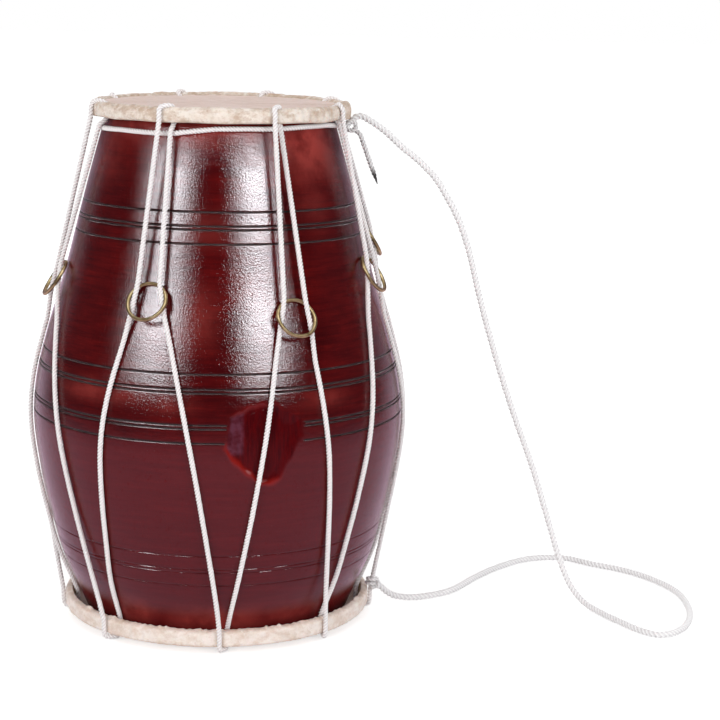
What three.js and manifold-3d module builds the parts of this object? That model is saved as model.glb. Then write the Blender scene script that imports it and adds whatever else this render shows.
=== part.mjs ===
// A rope-laced barrel drum, standing on its bass head.
// Millimetres, +Z up. The origin is the middle of the underside of the lower head.
import * as THREE from 'three';
import { mergeVertices } from 'three/addons/utils/BufferGeometryUtils.js';
import Module from 'manifold-3d';

const wasm = await Module();
wasm.setup();

// Barrel shell, turned hollow from one log
const SHELL_HEIGHT = 479.5;
const BELLY_RADIUS = 173.7;
const SHELL_WALL = 13;
const RIM_ROUND = 2.5;
const OUTLINE_HEIGHT_SHARES = [
  0, 0.0423, 0.1219, 0.2055, 0.2891, 0.3928, 0.4764, 0.5701, 0.685, 0.7897, 0.8935, 1,
];
const OUTLINE_RADIUS_SHARES = [
  0.708, 0.757, 0.852, 0.9145, 0.965, 1, 0.982, 0.918, 0.823, 0.749, 0.673, 0.588,
];
const BORE_HEIGHT_SHARES = [1, 0.73, 0.39, 0.12, 0];

// Turned grooves: one line, a close pair, and the mirror of them in each band
const GROOVE_WIDTH = 1.5;
const GROOVE_DEPTH = 1;
const PAIR_HALF_GAP = 1.6;
const UPPER_BAND_Z = 380.9;
const UPPER_BAND_HALF = 13.6;
const MIDDLE_BAND_Z = 229;
const MIDDLE_PAIR_OFFSET = 15.2;
const MIDDLE_BAND_HALF = 29.4;
const LOWER_BAND_Z = 79.4;
const LOWER_BAND_HALF = 14.6;

// Flat left by a planed-off knot in the wood
const KNOT_FLAT_ANGLE = -72;
const KNOT_FLAT_Z = 203;
const KNOT_FLAT_DEPTH = 2.8;

// Skins and the hoops that they are lapped round
const SKIN = 1.2;
const FIT_GAP = 0.3;
const HOOP_THICKNESS = 6.8;
const TOP_HOOP_HEIGHT = 12.5;
const BOTTOM_HOOP_HEIGHT = 12;
const HOOP_CHAMFER = 2;
const HOOP_RISE = 4;
const PASTE_RADIUS = 62;
const PASTE_THICKNESS = 3.5;

// Lacing and girth rope
const ROPE_DIAMETER = 4.8;
const ROPE_SLACK = 1.45;
const ROPE_LIFT = 0.95;
const GIRTH_DROP = 9;
const GIRTH_LIFT = 0.75;
const TOP_HITCH_ANGLES = [-158, -109.5, -60.5, -18, 28, 71, 114, 157];
const BOTTOM_HITCH_ANGLES = [-128.3, -83.4, -42, 0.5, 49, 92, 136, 190];
const TOP_HITCH_HALF_ANGLE = 2.1;
const BOTTOM_HITCH_HALF_ANGLE = 1.5;
const FALL_SHARES = [0.11, 0.22, 0.33, 0.44, 0.55, 0.66, 0.77, 0.88];
const LEFT_FALL_POWERS = [1, 1.25, 1, 2.15, 1, 1, 1, 1];
const RIGHT_FALL_POWERS = [2.05, 1.35, 0.7, 1, 1, 1, 1, 1];
const GIRTH_WRAP_BEARINGS = [85, 45, 5];
const LACING_START = 5;
const LACING_KNOT_LENGTH = 14;

// Carrying strap and its knots: the upper one in line with the girth rope, the lower one
// tied round an outside strand
const STRAP_DIAMETER = 6.6;
const STRAP_KNOT_ANGLE = 3;
const STRAP_KNOT_LENGTH = 16;
const STRAP_KNOT_RADIUS = 6;
const LOWER_KNOT_RADIUS = 4.8;
const STRAP_HITCH = 3;
const TAIL_ROUTE = [
  [117, 5, 458], [124, 7, 458.5], [130, 8, 454.5], [136, 9, 443], [142, 10, 427], [146, 10, 411],
];
const STRAP_ROUTE = [
  [126.5, 6.5, 471.5], [137, 7, 469], [153, 8, 459], [168, 9, 445.5], [185, 11, 432],
  [201, 13, 416], [212, 15, 399], [224, 17, 377], [234, 19, 350], [247, 24, 301], [264, 31, 245],
  [284, 37, 187], [305, 41, 132], [322, 40, 80], [334, 34, 43], [345, 24, 18], [357, 8, 6.2],
  [370, -14, 3.6], [386, -42, 3.6], [402, -66, 3.6], [419, -78, 3.6], [437, -66, 3.6], [452, -36, 3.6],
  [459, 6, 3.6], [455, 56, 3.6], [437, 96, 3.6], [412, 125, 3.6], [384, 143, 3.6], [354, 164, 3.6],
  [318, 159, 3.6], [284, 129, 3.6], [256, 90, 3.6], [228, 43, 3.6], [208, 27, 3.6], [186, 18, 3.9],
  [169, 12.5, 8.5],
];

// Brass tuning rings, one on each pair of strands
const RING_RADIUS = 17.55;
const RING_WIRE_RADIUS = 1.7;
const RING_ANGLES = [-165, -109.5, -60.5, -16, 12, 71, 114, 157];
const RING_HEIGHTS = [320, 316, 303, 330, 354, 330, 318, 328];
const RING_TOP_SPREAD = 10.4;
const RING_LEFT_SPREADS = [13.4, 13.9, 14.1, 14.1, 13.4, 13.4, 13.4, 13.4];
const RING_RIGHT_SPREADS = [14.1, 14.1, 13.4, 13.4, 13.4, 13.4, 13.4, 13.4];
const RING_CROSSING = 4.95;
const STRAND_LIFT = 3.6;

// Facets
const TURNED_SIDES = 32;
const ROPE_SIDES = 6;
const STRAP_SIDES = 8;
const RING_SIDES = 6;
const RING_STEPS = 14;
const CUT_OVERRUN = 4;

const ROPE_RADIUS = ROPE_DIAMETER / 2;
const STRAP_RADIUS = STRAP_DIAMETER / 2;
const degrees = THREE.MathUtils.degToRad;

// Heights of what is stacked on the axis
const SHELL_FOOT_Z = SKIN + FIT_GAP;
const SHELL_TOP_Z = SHELL_FOOT_Z + SHELL_HEIGHT;
const TOP_SKIN_UNDER_Z = SHELL_TOP_Z + FIT_GAP;
const TOP_SKIN_Z = TOP_SKIN_UNDER_Z + SKIN;
const TOP_LAP_Z = TOP_SKIN_Z + HOOP_RISE;
const TOP_HOOP_TOP_Z = TOP_LAP_Z - SKIN - FIT_GAP;
const TOP_HOOP_FOOT_Z = TOP_HOOP_TOP_Z - TOP_HOOP_HEIGHT;
const TOP_LAP_FOOT_Z = TOP_HOOP_FOOT_Z - FIT_GAP - SKIN;
const BOTTOM_LAP_FOOT_Z = ROPE_DIAMETER + 2 * FIT_GAP;
const BOTTOM_HOOP_FOOT_Z = BOTTOM_LAP_FOOT_Z + SKIN + FIT_GAP;
const BOTTOM_HOOP_TOP_Z = BOTTOM_HOOP_FOOT_Z + BOTTOM_HOOP_HEIGHT;
const BOTTOM_LAP_Z = BOTTOM_HOOP_TOP_Z + FIT_GAP + SKIN;
const GIRTH_Z = TOP_LAP_FOOT_Z - GIRTH_DROP;

// Outside radius of the shell at a height, a smooth curve through the outline shares
function shellRadius(z) {
  const last = OUTLINE_HEIGHT_SHARES.length - 1;
  const share = THREE.MathUtils.clamp((z - SHELL_FOOT_Z) / SHELL_HEIGHT, 0, 1);
  let i = 0;
  while (i < last - 1 && share > OUTLINE_HEIGHT_SHARES[i + 1]) i += 1;
  const slope = (k) => {
    const low = Math.max(k - 1, 0);
    const high = Math.min(k + 1, last);
    const rise = OUTLINE_RADIUS_SHARES[high] - OUTLINE_RADIUS_SHARES[low];
    return rise / (OUTLINE_HEIGHT_SHARES[high] - OUTLINE_HEIGHT_SHARES[low]);
  };
  const span = OUTLINE_HEIGHT_SHARES[i + 1] - OUTLINE_HEIGHT_SHARES[i];
  const t = (share - OUTLINE_HEIGHT_SHARES[i]) / span;
  const start = OUTLINE_RADIUS_SHARES[i] * (1 + 2 * t) * (1 - t) ** 2;
  const end = OUTLINE_RADIUS_SHARES[i + 1] * (3 - 2 * t) * t ** 2;
  const bend = slope(i) * t * (1 - t) ** 2 - slope(i + 1) * (1 - t) * t ** 2;
  return BELLY_RADIUS * (start + end + span * bend);
}

// Angle of the wall from the vertical at a height, positive where it widens upwards
function shellLean(z) {
  return Math.atan2(shellRadius(z + GROOVE_WIDTH) - shellRadius(z - GROOVE_WIDTH), 2 * GROOVE_WIDTH);
}

// Radius of a rope's centre lying on the shell at a height, a clearance off the wood
function ropeOnShell(z, clearance) {
  return shellRadius(z) + (ROPE_RADIUS + clearance) / Math.cos(shellLean(z));
}

// Radii of the hoops, which leave a slot round the shell for the lacing
const TOP_HOOP_INNER = shellRadius(TOP_LAP_FOOT_Z) + ROPE_DIAMETER + ROPE_SLACK;
const TOP_HOOP_OUTER = TOP_HOOP_INNER + HOOP_THICKNESS;
const TOP_LAP_RADIUS = TOP_HOOP_OUTER + FIT_GAP + SKIN;
const TOP_SLOT_RADIUS = TOP_HOOP_INNER - (ROPE_DIAMETER + ROPE_SLACK) / 2;
const BOTTOM_HOOP_INNER = shellRadius(BOTTOM_LAP_Z) + ROPE_DIAMETER + ROPE_SLACK;
const BOTTOM_HOOP_OUTER = BOTTOM_HOOP_INNER + HOOP_THICKNESS;
const BOTTOM_LAP_RADIUS = BOTTOM_HOOP_OUTER + FIT_GAP + SKIN;
const BOTTOM_SLOT_RADIUS = BOTTOM_HOOP_INNER - (ROPE_DIAMETER + ROPE_SLACK) / 2;

// Leaves a geometry with shared vertices and without triangles that have no area
function sealed(geometry) {
  const bare = geometry.clone();
  bare.deleteAttribute('normal');
  bare.deleteAttribute('uv');
  const merged = mergeVertices(bare);
  const index = merged.getIndex().array;
  const kept = [];
  for (let i = 0; i < index.length; i += 3) {
    const [a, b, c] = [index[i], index[i + 1], index[i + 2]];
    if (a !== b && b !== c && c !== a) kept.push(a, b, c);
  }
  merged.setIndex(kept);
  return merged;
}

// Turns a geometry into a solid that can be joined and cut
function toSolid(geometry) {
  const closed = sealed(geometry);
  const vertProperties = new Float32Array(closed.getAttribute('position').array);
  const triVerts = new Uint32Array(closed.getIndex().array);
  return new wasm.Manifold(new wasm.Mesh({ numProp: 3, vertProperties, triVerts }));
}

// Turns a solid back into a geometry
function toGeometry(solid) {
  const mesh = solid.getMesh();
  const geometry = new THREE.BufferGeometry();
  geometry.setAttribute('position', new THREE.BufferAttribute(new Float32Array(mesh.vertProperties), 3));
  geometry.setIndex([...mesh.triVerts]);
  return geometry;
}

// Revolves a profile of [radius, height] pairs about the vertical axis
function turned(profile, sides = TURNED_SIDES) {
  const points = profile.map(([radius, z]) => new THREE.Vector2(radius, z));
  return new THREE.LatheGeometry(points, sides).rotateX(Math.PI / 2);
}

// A point at a radius, an angle in degrees and a height
function polar(radius, angle, z) {
  return new THREE.Vector3(radius * Math.cos(degrees(angle)), radius * Math.sin(degrees(angle)), z);
}

// A smooth route whose steps fall on its own points, closer together where it bends
class Route extends THREE.CatmullRomCurve3 {
  getPointAt(t, target) {
    return this.getPoint(t, target);
  }

  getTangentAt(t, target) {
    return this.getTangent(t, target);
  }
}

// A round rope along a list of points, with a number of steps between neighbours
function rope(points, radius, sides, stepsBetween = 1) {
  const section = new THREE.Shape();
  for (let i = 0; i < sides; i += 1) {
    const turn = (i / sides) * 2 * Math.PI;
    if (i === 0) section.moveTo(radius, 0);
    else section.lineTo(radius * Math.cos(turn), radius * Math.sin(turn));
  }
  section.closePath();
  return new THREE.ExtrudeGeometry(section, {
    steps: (points.length - 1) * stepsBetween,
    bevelEnabled: false,
    extrudePath: new Route(points),
  });
}

// Heights of all the turned grooves, from the foot up
function grooveHeights() {
  const heights = [];
  for (const [centre, half] of [[LOWER_BAND_Z, LOWER_BAND_HALF], [UPPER_BAND_Z, UPPER_BAND_HALF]]) {
    heights.push(centre - half, centre - PAIR_HALF_GAP, centre + PAIR_HALF_GAP, centre + half);
  }
  for (const side of [-1, 1]) {
    const pair = MIDDLE_BAND_Z + side * MIDDLE_PAIR_OFFSET;
    heights.push(MIDDLE_BAND_Z + side * MIDDLE_BAND_HALF, pair - PAIR_HALF_GAP, pair + PAIR_HALF_GAP);
  }
  return heights.sort((a, b) => a - b);
}

// Turned barrel: grooved outside, an even wall inside, rounded bearing edges
function barrelShell() {
  const grooves = grooveHeights();
  const outside = [];
  OUTLINE_HEIGHT_SHARES.forEach((share) => {
    const z = SHELL_FOOT_Z + share * SHELL_HEIGHT;
    const inset = share === 0 ? RIM_ROUND : share === 1 ? -RIM_ROUND : 0;
    const clear = grooves.every((groove) => Math.abs(groove - z) > 2 * GROOVE_WIDTH);
    if (clear) outside.push([shellRadius(z + inset), z + inset]);
  });
  for (const z of grooves) {
    outside.push([shellRadius(z - GROOVE_WIDTH / 2), z - GROOVE_WIDTH / 2]);
    outside.push([shellRadius(z) - GROOVE_DEPTH, z]);
    outside.push([shellRadius(z + GROOVE_WIDTH / 2), z + GROOVE_WIDTH / 2]);
  }
  outside.sort((a, b) => a[1] - b[1]);
  const inside = [];
  for (const share of BORE_HEIGHT_SHARES) {
    const z = SHELL_FOOT_Z + share * SHELL_HEIGHT;
    inside.push([shellRadius(z) - SHELL_WALL, z]);
  }
  const topEdge = [shellRadius(SHELL_TOP_Z) - RIM_ROUND, SHELL_TOP_Z];
  const footEdge = [shellRadius(SHELL_FOOT_Z) - RIM_ROUND, SHELL_FOOT_Z];
  const profile = [footEdge, ...outside, topEdge, ...inside, footEdge];

  const knifeSize = 2 * BELLY_RADIUS;
  const knife = new THREE.BoxGeometry(knifeSize, knifeSize, knifeSize);
  knife.translate(knifeSize / 2, 0, 0);
  knife.rotateY(shellLean(KNOT_FLAT_Z));
  const cutRadius = shellRadius(KNOT_FLAT_Z) - KNOT_FLAT_DEPTH;
  knife.translate(cutRadius, 0, KNOT_FLAT_Z);
  knife.rotateZ(degrees(KNOT_FLAT_ANGLE));
  return toGeometry(toSolid(turned(profile)).subtract(toSolid(knife)));
}

// Hoop of bent cane with its corners taken off
function hoop(inner, outer, foot, top) {
  const c = HOOP_CHAMFER;
  return turned([
    [inner, foot + c],
    [inner + c, foot],
    [outer - c, foot],
    [outer, foot + c],
    [outer, top - c],
    [outer - c, top],
    [inner + c, top],
    [inner, top - c],
    [inner, foot + c],
  ]);
}

// A radial slot cut through a skin for each hitch, where the lacing goes down beside the shell
function lacingSlots(angles, radius, hoopInner, low, high) {
  const halfWidth = ROPE_RADIUS + ROPE_SLACK / 4;
  const innerEnd = radius - halfWidth;
  const outerEnd = hoopInner + HOOP_CHAMFER / 2;
  const solids = angles.map((angle) => {
    const slot = new THREE.CylinderGeometry(halfWidth, halfWidth, high - low, ROPE_SIDES + 2);
    slot.rotateX(Math.PI / 2);
    slot.scale((outerEnd - innerEnd) / (2 * halfWidth), 1, 1);
    slot.translate((innerEnd + outerEnd) / 2, 0, (low + high) / 2);
    return toSolid(slot.rotateZ(degrees(angle)));
  });
  return solids.reduce((sum, solid) => sum.add(solid));
}

// Treble skin: flat over the shell, up over the hoop and tucked under it
function topHeadSkin() {
  const c = HOOP_CHAMFER;
  const inner = TOP_HOOP_INNER;
  const outer = TOP_LAP_RADIUS;
  const lip = outer - SKIN;
  const innerFoot = TOP_LAP_FOOT_Z + SKIN;
  const crease = shellRadius(SHELL_TOP_Z) + ROPE_DIAMETER;
  const skin = turned([
    [0, TOP_SKIN_UNDER_Z],
    [crease, TOP_SKIN_UNDER_Z],
    [inner + c / 2, TOP_LAP_Z - SKIN],
    [lip - c, TOP_LAP_Z - SKIN],
    [lip, TOP_LAP_Z - SKIN - c],
    [lip, innerFoot + c],
    [lip - c, innerFoot],
    [inner + c, innerFoot],
    [inner + c, TOP_LAP_FOOT_Z],
    [outer - c, TOP_LAP_FOOT_Z],
    [outer, TOP_LAP_FOOT_Z + c],
    [outer, TOP_LAP_Z - c],
    [outer - c, TOP_LAP_Z],
    [inner, TOP_LAP_Z],
    [crease - SKIN, TOP_SKIN_Z],
    [0, TOP_SKIN_Z],
  ]);
  const slots = lacingSlots(
    TOP_HITCH_ANGLES.map((angle) => angle + TOP_HITCH_HALF_ANGLE),
    TOP_SLOT_RADIUS,
    inner,
    TOP_SKIN_UNDER_Z - CUT_OVERRUN,
    TOP_LAP_Z + CUT_OVERRUN,
  );
  return toGeometry(toSolid(skin).subtract(slots));
}

// Bass skin: flat on the ground, up under the hoop and trimmed off over its upper edge
function bottomHeadSkin() {
  const c = HOOP_CHAMFER;
  const inner = BOTTOM_HOOP_INNER;
  const outer = BOTTOM_LAP_RADIUS;
  const lip = outer - SKIN;
  const crease = shellRadius(SHELL_FOOT_Z) + ROPE_RADIUS;
  const skin = turned([
    [0, 0],
    [crease, 0],
    [inner + c / 2, BOTTOM_LAP_FOOT_Z],
    [outer - c, BOTTOM_LAP_FOOT_Z],
    [outer, BOTTOM_LAP_FOOT_Z + c],
    [outer, BOTTOM_LAP_Z - c],
    [outer - c, BOTTOM_LAP_Z],
    [inner + c, BOTTOM_LAP_Z],
    [inner + c, BOTTOM_LAP_Z - SKIN],
    [lip - c, BOTTOM_LAP_Z - SKIN],
    [lip, BOTTOM_LAP_Z - SKIN - c],
    [lip, BOTTOM_LAP_FOOT_Z + SKIN + c],
    [lip - c, BOTTOM_LAP_FOOT_Z + SKIN],
    [inner, BOTTOM_LAP_FOOT_Z + SKIN],
    [crease - SKIN, SKIN],
    [0, SKIN],
  ]);
  const slots = lacingSlots(
    BOTTOM_HITCH_ANGLES.map((angle) => angle + BOTTOM_HITCH_HALF_ANGLE),
    BOTTOM_SLOT_RADIUS,
    inner,
    -CUT_OVERRUN,
    BOTTOM_LAP_FOOT_Z + SKIN + FIT_GAP,
  );
  return toGeometry(toSolid(skin).subtract(slots));
}

// Tuning paste on the inside of the bass skin, thickest in the middle
function bassPaste() {
  const seat = SKIN + FIT_GAP;
  return turned([
    [0, seat],
    [PASTE_RADIUS, seat],
    [PASTE_RADIUS, seat + PASTE_THICKNESS / 4],
    [PASTE_RADIUS * 0.8, seat + PASTE_THICKNESS * 0.8],
    [PASTE_RADIUS * 0.4, seat + PASTE_THICKNESS],
    [0, seat + PASTE_THICKNESS],
  ]);
}

// How far above or below its ring's middle a strand crosses the wire
function crossingReach(spread) {
  return Math.sqrt(RING_RADIUS ** 2 - spread ** 2);
}

// Tilt of a ring from the wall and the height of its middle off the wood, so that its upper
// edge lies on the wood and its lower edge on the two strands, which stand a little off it
const RING_REST = RING_WIRE_RADIUS + 2 * FIT_GAP;
const STRAND_REST = ROPE_RADIUS + FIT_GAP + STRAND_LIFT;
const RING_REACH = RING_RADIUS + crossingReach(Math.min(...RING_LEFT_SPREADS));
const RING_TILT = Math.asin((STRAND_REST + RING_CROSSING - RING_REST) / RING_REACH);
const RING_STANDOFF = RING_REST + RING_RADIUS * Math.sin(RING_TILT);

// Place of a ring: its x runs round the shell, its y up the wall, its z away from the wood
function ringFrame(k) {
  const angle = RING_ANGLES[k];
  const z = RING_HEIGHTS[k];
  const lean = shellLean(z);
  const out = polar(Math.cos(lean), angle, -Math.sin(lean));
  const up = polar(Math.sin(lean), angle, Math.cos(lean));
  const centre = polar(shellRadius(z), angle, z).addScaledVector(out, RING_STANDOFF);
  const across = new THREE.Vector3().crossVectors(up, out);
  const frame = new THREE.Matrix4().makeBasis(across, up, out);
  frame.multiply(new THREE.Matrix4().makeRotationX(-RING_TILT));
  return frame.setPosition(centre);
}

// Where a strand goes over the upper edge of its ring or behind the lower one
function ringCrossing(k, side, upper) {
  const lowerSpread = side > 0 ? RING_RIGHT_SPREADS[k] : RING_LEFT_SPREADS[k];
  const spread = upper ? RING_TOP_SPREAD : lowerSpread;
  const way = upper ? 1 : -1;
  const place = new THREE.Vector3(side * spread, way * crossingReach(spread), way * RING_CROSSING);
  return place.applyMatrix4(ringFrame(k));
}

// Middle of a rope laid against a hoop's lap, and of the fall of the strand outside it
const TOP_FACE_RADIUS = TOP_LAP_RADIUS + ROPE_RADIUS + FIT_GAP;
const TOP_OVER_Z = TOP_LAP_Z + ROPE_RADIUS + FIT_GAP;
const BOTTOM_FACE_RADIUS = BOTTOM_LAP_RADIUS + ROPE_RADIUS + FIT_GAP;
const BOTTOM_UNDER_Z = BOTTOM_LAP_FOOT_Z - ROPE_RADIUS - FIT_GAP;

// Slope of the taut run from the lower hoop's face to the height where it meets the barrel
function tautRun() {
  let slope = 0;
  let meetingZ = BOTTOM_LAP_Z;
  for (let z = BOTTOM_LAP_Z + GROOVE_WIDTH; z < MIDDLE_BAND_Z; z += GROOVE_WIDTH) {
    const reach = (ropeOnShell(z, ROPE_LIFT) - BOTTOM_FACE_RADIUS) / (z - BOTTOM_LAP_Z);
    if (reach > slope) {
      slope = reach;
      meetingZ = z;
    }
  }
  return { slope, meetingZ };
}
const TAUT_RUN = tautRun();

// Points of one strand from its ring down to the lower hoop. An outside strand leaves the
// barrel and runs straight to the face of the hoop, an inside one lies on the wood.
function fall(k, side) {
  const outside = side > 0;
  const count = TOP_HITCH_ANGLES.length;
  const hitch = BOTTOM_HITCH_ANGLES[outside ? k : (k + count - 1) % count];
  const endAngle = hitch - side * BOTTOM_HITCH_HALF_ANGLE;
  const start = ringCrossing(k, side, false);
  const startAngle = THREE.MathUtils.radToDeg(Math.atan2(start.y, start.x));
  const turn = THREE.MathUtils.euclideanModulo(endAngle - startAngle + 180, 360) - 180;
  const power = outside ? RIGHT_FALL_POWERS[k] : LEFT_FALL_POWERS[k];
  const points = [start];
  for (const share of FALL_SHARES) {
    const z = start.z + share * (BOTTOM_LAP_Z - start.z);
    const angle = startAngle + turn * (1 - (1 - share) ** power);
    const isTaut = outside && z < TAUT_RUN.meetingZ;
    const taut = BOTTOM_FACE_RADIUS + TAUT_RUN.slope * (z - BOTTOM_LAP_Z);
    points.push(polar(isTaut ? taut : ropeOnShell(z, ROPE_LIFT), angle, z));
  }
  return points;
}

// Points over the upper hoop, from its face on the left, through the skin and out again
// below the hoop on the right, over the girth rope
function topHitch(k) {
  const left = TOP_HITCH_ANGLES[k] - TOP_HITCH_HALF_ANGLE;
  const right = TOP_HITCH_ANGLES[k] + TOP_HITCH_HALF_ANGLE;
  const middle = TOP_HITCH_ANGLES[k];
  const c = HOOP_CHAMFER;
  const points = [
    polar(TOP_FACE_RADIUS, left, TOP_LAP_FOOT_Z),
    polar(TOP_FACE_RADIUS, left, TOP_LAP_Z - c),
    polar(TOP_FACE_RADIUS - c, left, TOP_OVER_Z - c / 2),
    polar(TOP_LAP_RADIUS - 2 * c, middle, TOP_OVER_Z),
    polar(TOP_HOOP_INNER + c, right, TOP_OVER_Z + c / 2),
    polar(TOP_SLOT_RADIUS + ROPE_SLACK / 2, right, TOP_HOOP_TOP_Z + c),
    polar(TOP_SLOT_RADIUS, right, TOP_HOOP_TOP_Z - c),
    polar(TOP_SLOT_RADIUS, right, TOP_LAP_FOOT_Z),
  ];
  const girth = ropeOnShell(GIRTH_Z, GIRTH_LIFT);
  const reach = ROPE_DIAMETER + 2 * FIT_GAP;
  for (const bearing of GIRTH_WRAP_BEARINGS) {
    const radius = girth + reach * Math.cos(degrees(bearing));
    points.push(polar(radius, right, GIRTH_Z + reach * Math.sin(degrees(bearing))));
  }
  return points;
}

// Points under the lower hoop, from its face on the left to the slot beside the shell
function bottomHitch(k) {
  const left = BOTTOM_HITCH_ANGLES[k] - BOTTOM_HITCH_HALF_ANGLE;
  const right = BOTTOM_HITCH_ANGLES[k] + BOTTOM_HITCH_HALF_ANGLE;
  const middle = BOTTOM_HITCH_ANGLES[k];
  const c = HOOP_CHAMFER;
  return [
    polar(BOTTOM_FACE_RADIUS, left, BOTTOM_LAP_Z - c),
    polar(BOTTOM_FACE_RADIUS, left, BOTTOM_LAP_FOOT_Z + c),
    polar(BOTTOM_FACE_RADIUS - c, left, BOTTOM_UNDER_Z + c / 4),
    polar(BOTTOM_LAP_RADIUS - 2 * c, middle, BOTTOM_UNDER_Z),
    polar(BOTTOM_HOOP_INNER, right, BOTTOM_UNDER_Z),
    polar(BOTTOM_SLOT_RADIUS, right, BOTTOM_LAP_FOOT_Z),
    polar(BOTTOM_SLOT_RADIUS, right, BOTTOM_HOOP_FOOT_Z + c),
    polar(BOTTOM_SLOT_RADIUS, right, BOTTOM_HOOP_TOP_Z),
  ];
}

// The lacing, one rope from the knot at a top hitch right round to the knot again
function lacingRoute() {
  const count = TOP_HITCH_ANGLES.length;
  const points = [];
  for (let step = 0; step < count; step += 1) {
    const k = (LACING_START + step) % count;
    const next = (k + 1) % count;
    const over = topHitch(k);
    if (step === 0) over[0].z = TOP_LAP_FOOT_Z - FIT_GAP;
    points.push(...over, ringCrossing(k, 1, true), ...fall(k, 1));
    points.push(...bottomHitch(k), ...fall(next, -1).reverse(), ringCrossing(next, -1, true));
  }
  points.push(strandEnd());
  return points;
}

// Ends of the lacing at its knot, on the line from the hoop's face to the ring
function strandEnd() {
  const top = polar(TOP_FACE_RADIUS, TOP_HITCH_ANGLES[LACING_START] - TOP_HITCH_HALF_ANGLE, TOP_LAP_FOOT_Z);
  const low = ringCrossing(LACING_START, -1, true);
  const down = new THREE.Vector3().subVectors(low, top).normalize();
  return top.addScaledVector(down, LACING_KNOT_LENGTH + FIT_GAP);
}

// Knot of coiled turns: a ribbed body of revolution along +Z from the origin
function coiledKnot(length, radius, turns) {
  const pitch = length / turns;
  const waist = radius - pitch / 4;
  const profile = [[0, 0], [waist, 0]];
  for (let i = 0; i < turns; i += 1) {
    profile.push([radius, (i + 0.25) * pitch], [radius, (i + 0.75) * pitch], [waist, (i + 1) * pitch]);
  }
  profile.push([0, length]);
  return turned(profile, STRAP_SIDES);
}

// Places a shape that was made along +Z so that it runs from one point to another
function along(geometry, from, to) {
  const direction = new THREE.Vector3().subVectors(to, from).normalize();
  const turn = new THREE.Quaternion().setFromUnitVectors(new THREE.Vector3(0, 0, 1), direction);
  return geometry.applyQuaternion(turn).translate(from.x, from.y, from.z);
}

// Knot that joins the two ends of the lacing below the hoop
function lacingKnot() {
  const top = polar(TOP_FACE_RADIUS, TOP_HITCH_ANGLES[LACING_START] - TOP_HITCH_HALF_ANGLE, TOP_LAP_FOOT_Z);
  top.z -= 4 * FIT_GAP;
  const low = strandEnd();
  const length = top.distanceTo(low) - FIT_GAP;
  return along(coiledKnot(length, ROPE_DIAMETER, 3), top, low);
}

// Girth rope on the shell under the upper hoop, open where the strap's knot sits in it
const GIRTH_RADIUS = ropeOnShell(GIRTH_Z, GIRTH_LIFT);
const STRAP_KNOT_PLACE = shellRadius(GIRTH_Z - STRAP_KNOT_RADIUS) + STRAP_KNOT_RADIUS + FIT_GAP;
function girthRope() {
  const halfKnot = (STRAP_KNOT_LENGTH / 2 + FIT_GAP) / GIRTH_RADIUS;
  const start = STRAP_KNOT_ANGLE + THREE.MathUtils.radToDeg(halfKnot);
  const sweep = 360 - 2 * THREE.MathUtils.radToDeg(halfKnot);
  const points = [];
  for (let i = 0; i <= TURNED_SIDES; i += 1) {
    points.push(polar(GIRTH_RADIUS, start + (i / TURNED_SIDES) * sweep, GIRTH_Z));
  }
  return rope(points, ROPE_RADIUS, ROPE_SIDES);
}

// Sizes of the lower strap knot that follow from the ropes
const LOWER_KNOT_Z = BOTTOM_LAP_Z + LOWER_KNOT_RADIUS + 2 * FIT_GAP;
const LOWER_KNOT_EYE = ROPE_RADIUS + 2.5 * FIT_GAP + STRAP_RADIUS;
const LOWER_KNOT_ASIDE = ROPE_RADIUS + 2.5 * FIT_GAP + LOWER_KNOT_RADIUS;

function upperKnotPlace() {
  return polar(STRAP_KNOT_PLACE, STRAP_KNOT_ANGLE, GIRTH_Z);
}

// The straight of the strand that the lower knot is tied round, pointing up from the hoop
function knottedStrand() {
  const below = bottomHitch(STRAP_HITCH)[0];
  const above = fall(STRAP_HITCH, 1).at(-1);
  const rise = new THREE.Vector3().subVectors(above, below).normalize();
  const place = below.clone().addScaledVector(rise, (LOWER_KNOT_Z - below.z) / rise.z);
  return { place, rise };
}

function lowerKnotPlace() {
  const angle = BOTTOM_HITCH_ANGLES[STRAP_HITCH];
  return knottedStrand().place.add(polar(LOWER_KNOT_ASIDE, angle + 90, 0));
}

// Point on the way from a knot to the nearest point of the strap where the strap begins
function knotExit(knot, toward, radius) {
  const direction = new THREE.Vector3().subVectors(toward, knot).normalize();
  return knot.clone().addScaledVector(direction, radius);
}

// Points that the strap follows: out of the upper knot, down in an arc to the ground, round
// a loop there and up to the lower knot
function strapRoute() {
  const points = STRAP_ROUTE.map(([x, y, z]) => new THREE.Vector3(x, y, z));
  const start = knotExit(upperKnotPlace(), points[0], STRAP_KNOT_RADIUS + STRAP_RADIUS);
  const end = knotExit(lowerKnotPlace(), points.at(-1), LOWER_KNOT_RADIUS + STRAP_RADIUS);
  return [start, ...points, end];
}

// A short end of strap standing out of a knot, in line with the stretch of strap before it
function strapStub(from, to) {
  const length = from.distanceTo(to) - FIT_GAP;
  const stub = new THREE.CylinderGeometry(STRAP_RADIUS, STRAP_RADIUS, length, STRAP_SIDES);
  stub.rotateX(Math.PI / 2).translate(0, 0, length / 2);
  return toSolid(along(stub, from, to));
}

// Upper knot of the strap: coiled turns in line with the girth rope, the loose tail below
// it and the start of the strap
function strapTopKnot() {
  const middle = upperKnotPlace();
  const sideways = polar(STRAP_KNOT_LENGTH / 2, STRAP_KNOT_ANGLE + 90, 0);
  const from = new THREE.Vector3().subVectors(middle, sideways);
  const to = new THREE.Vector3().addVectors(middle, sideways);
  const body = toSolid(along(coiledKnot(STRAP_KNOT_LENGTH, STRAP_KNOT_RADIUS, 3), from, to));
  const tail = rope(TAIL_ROUTE.map(([x, y, z]) => new THREE.Vector3(x, y, z)), STRAP_RADIUS, STRAP_SIDES, 2);
  return toGeometry(body.add(toSolid(tail)).add(strapStub(middle, strapRoute()[0])));
}

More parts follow.
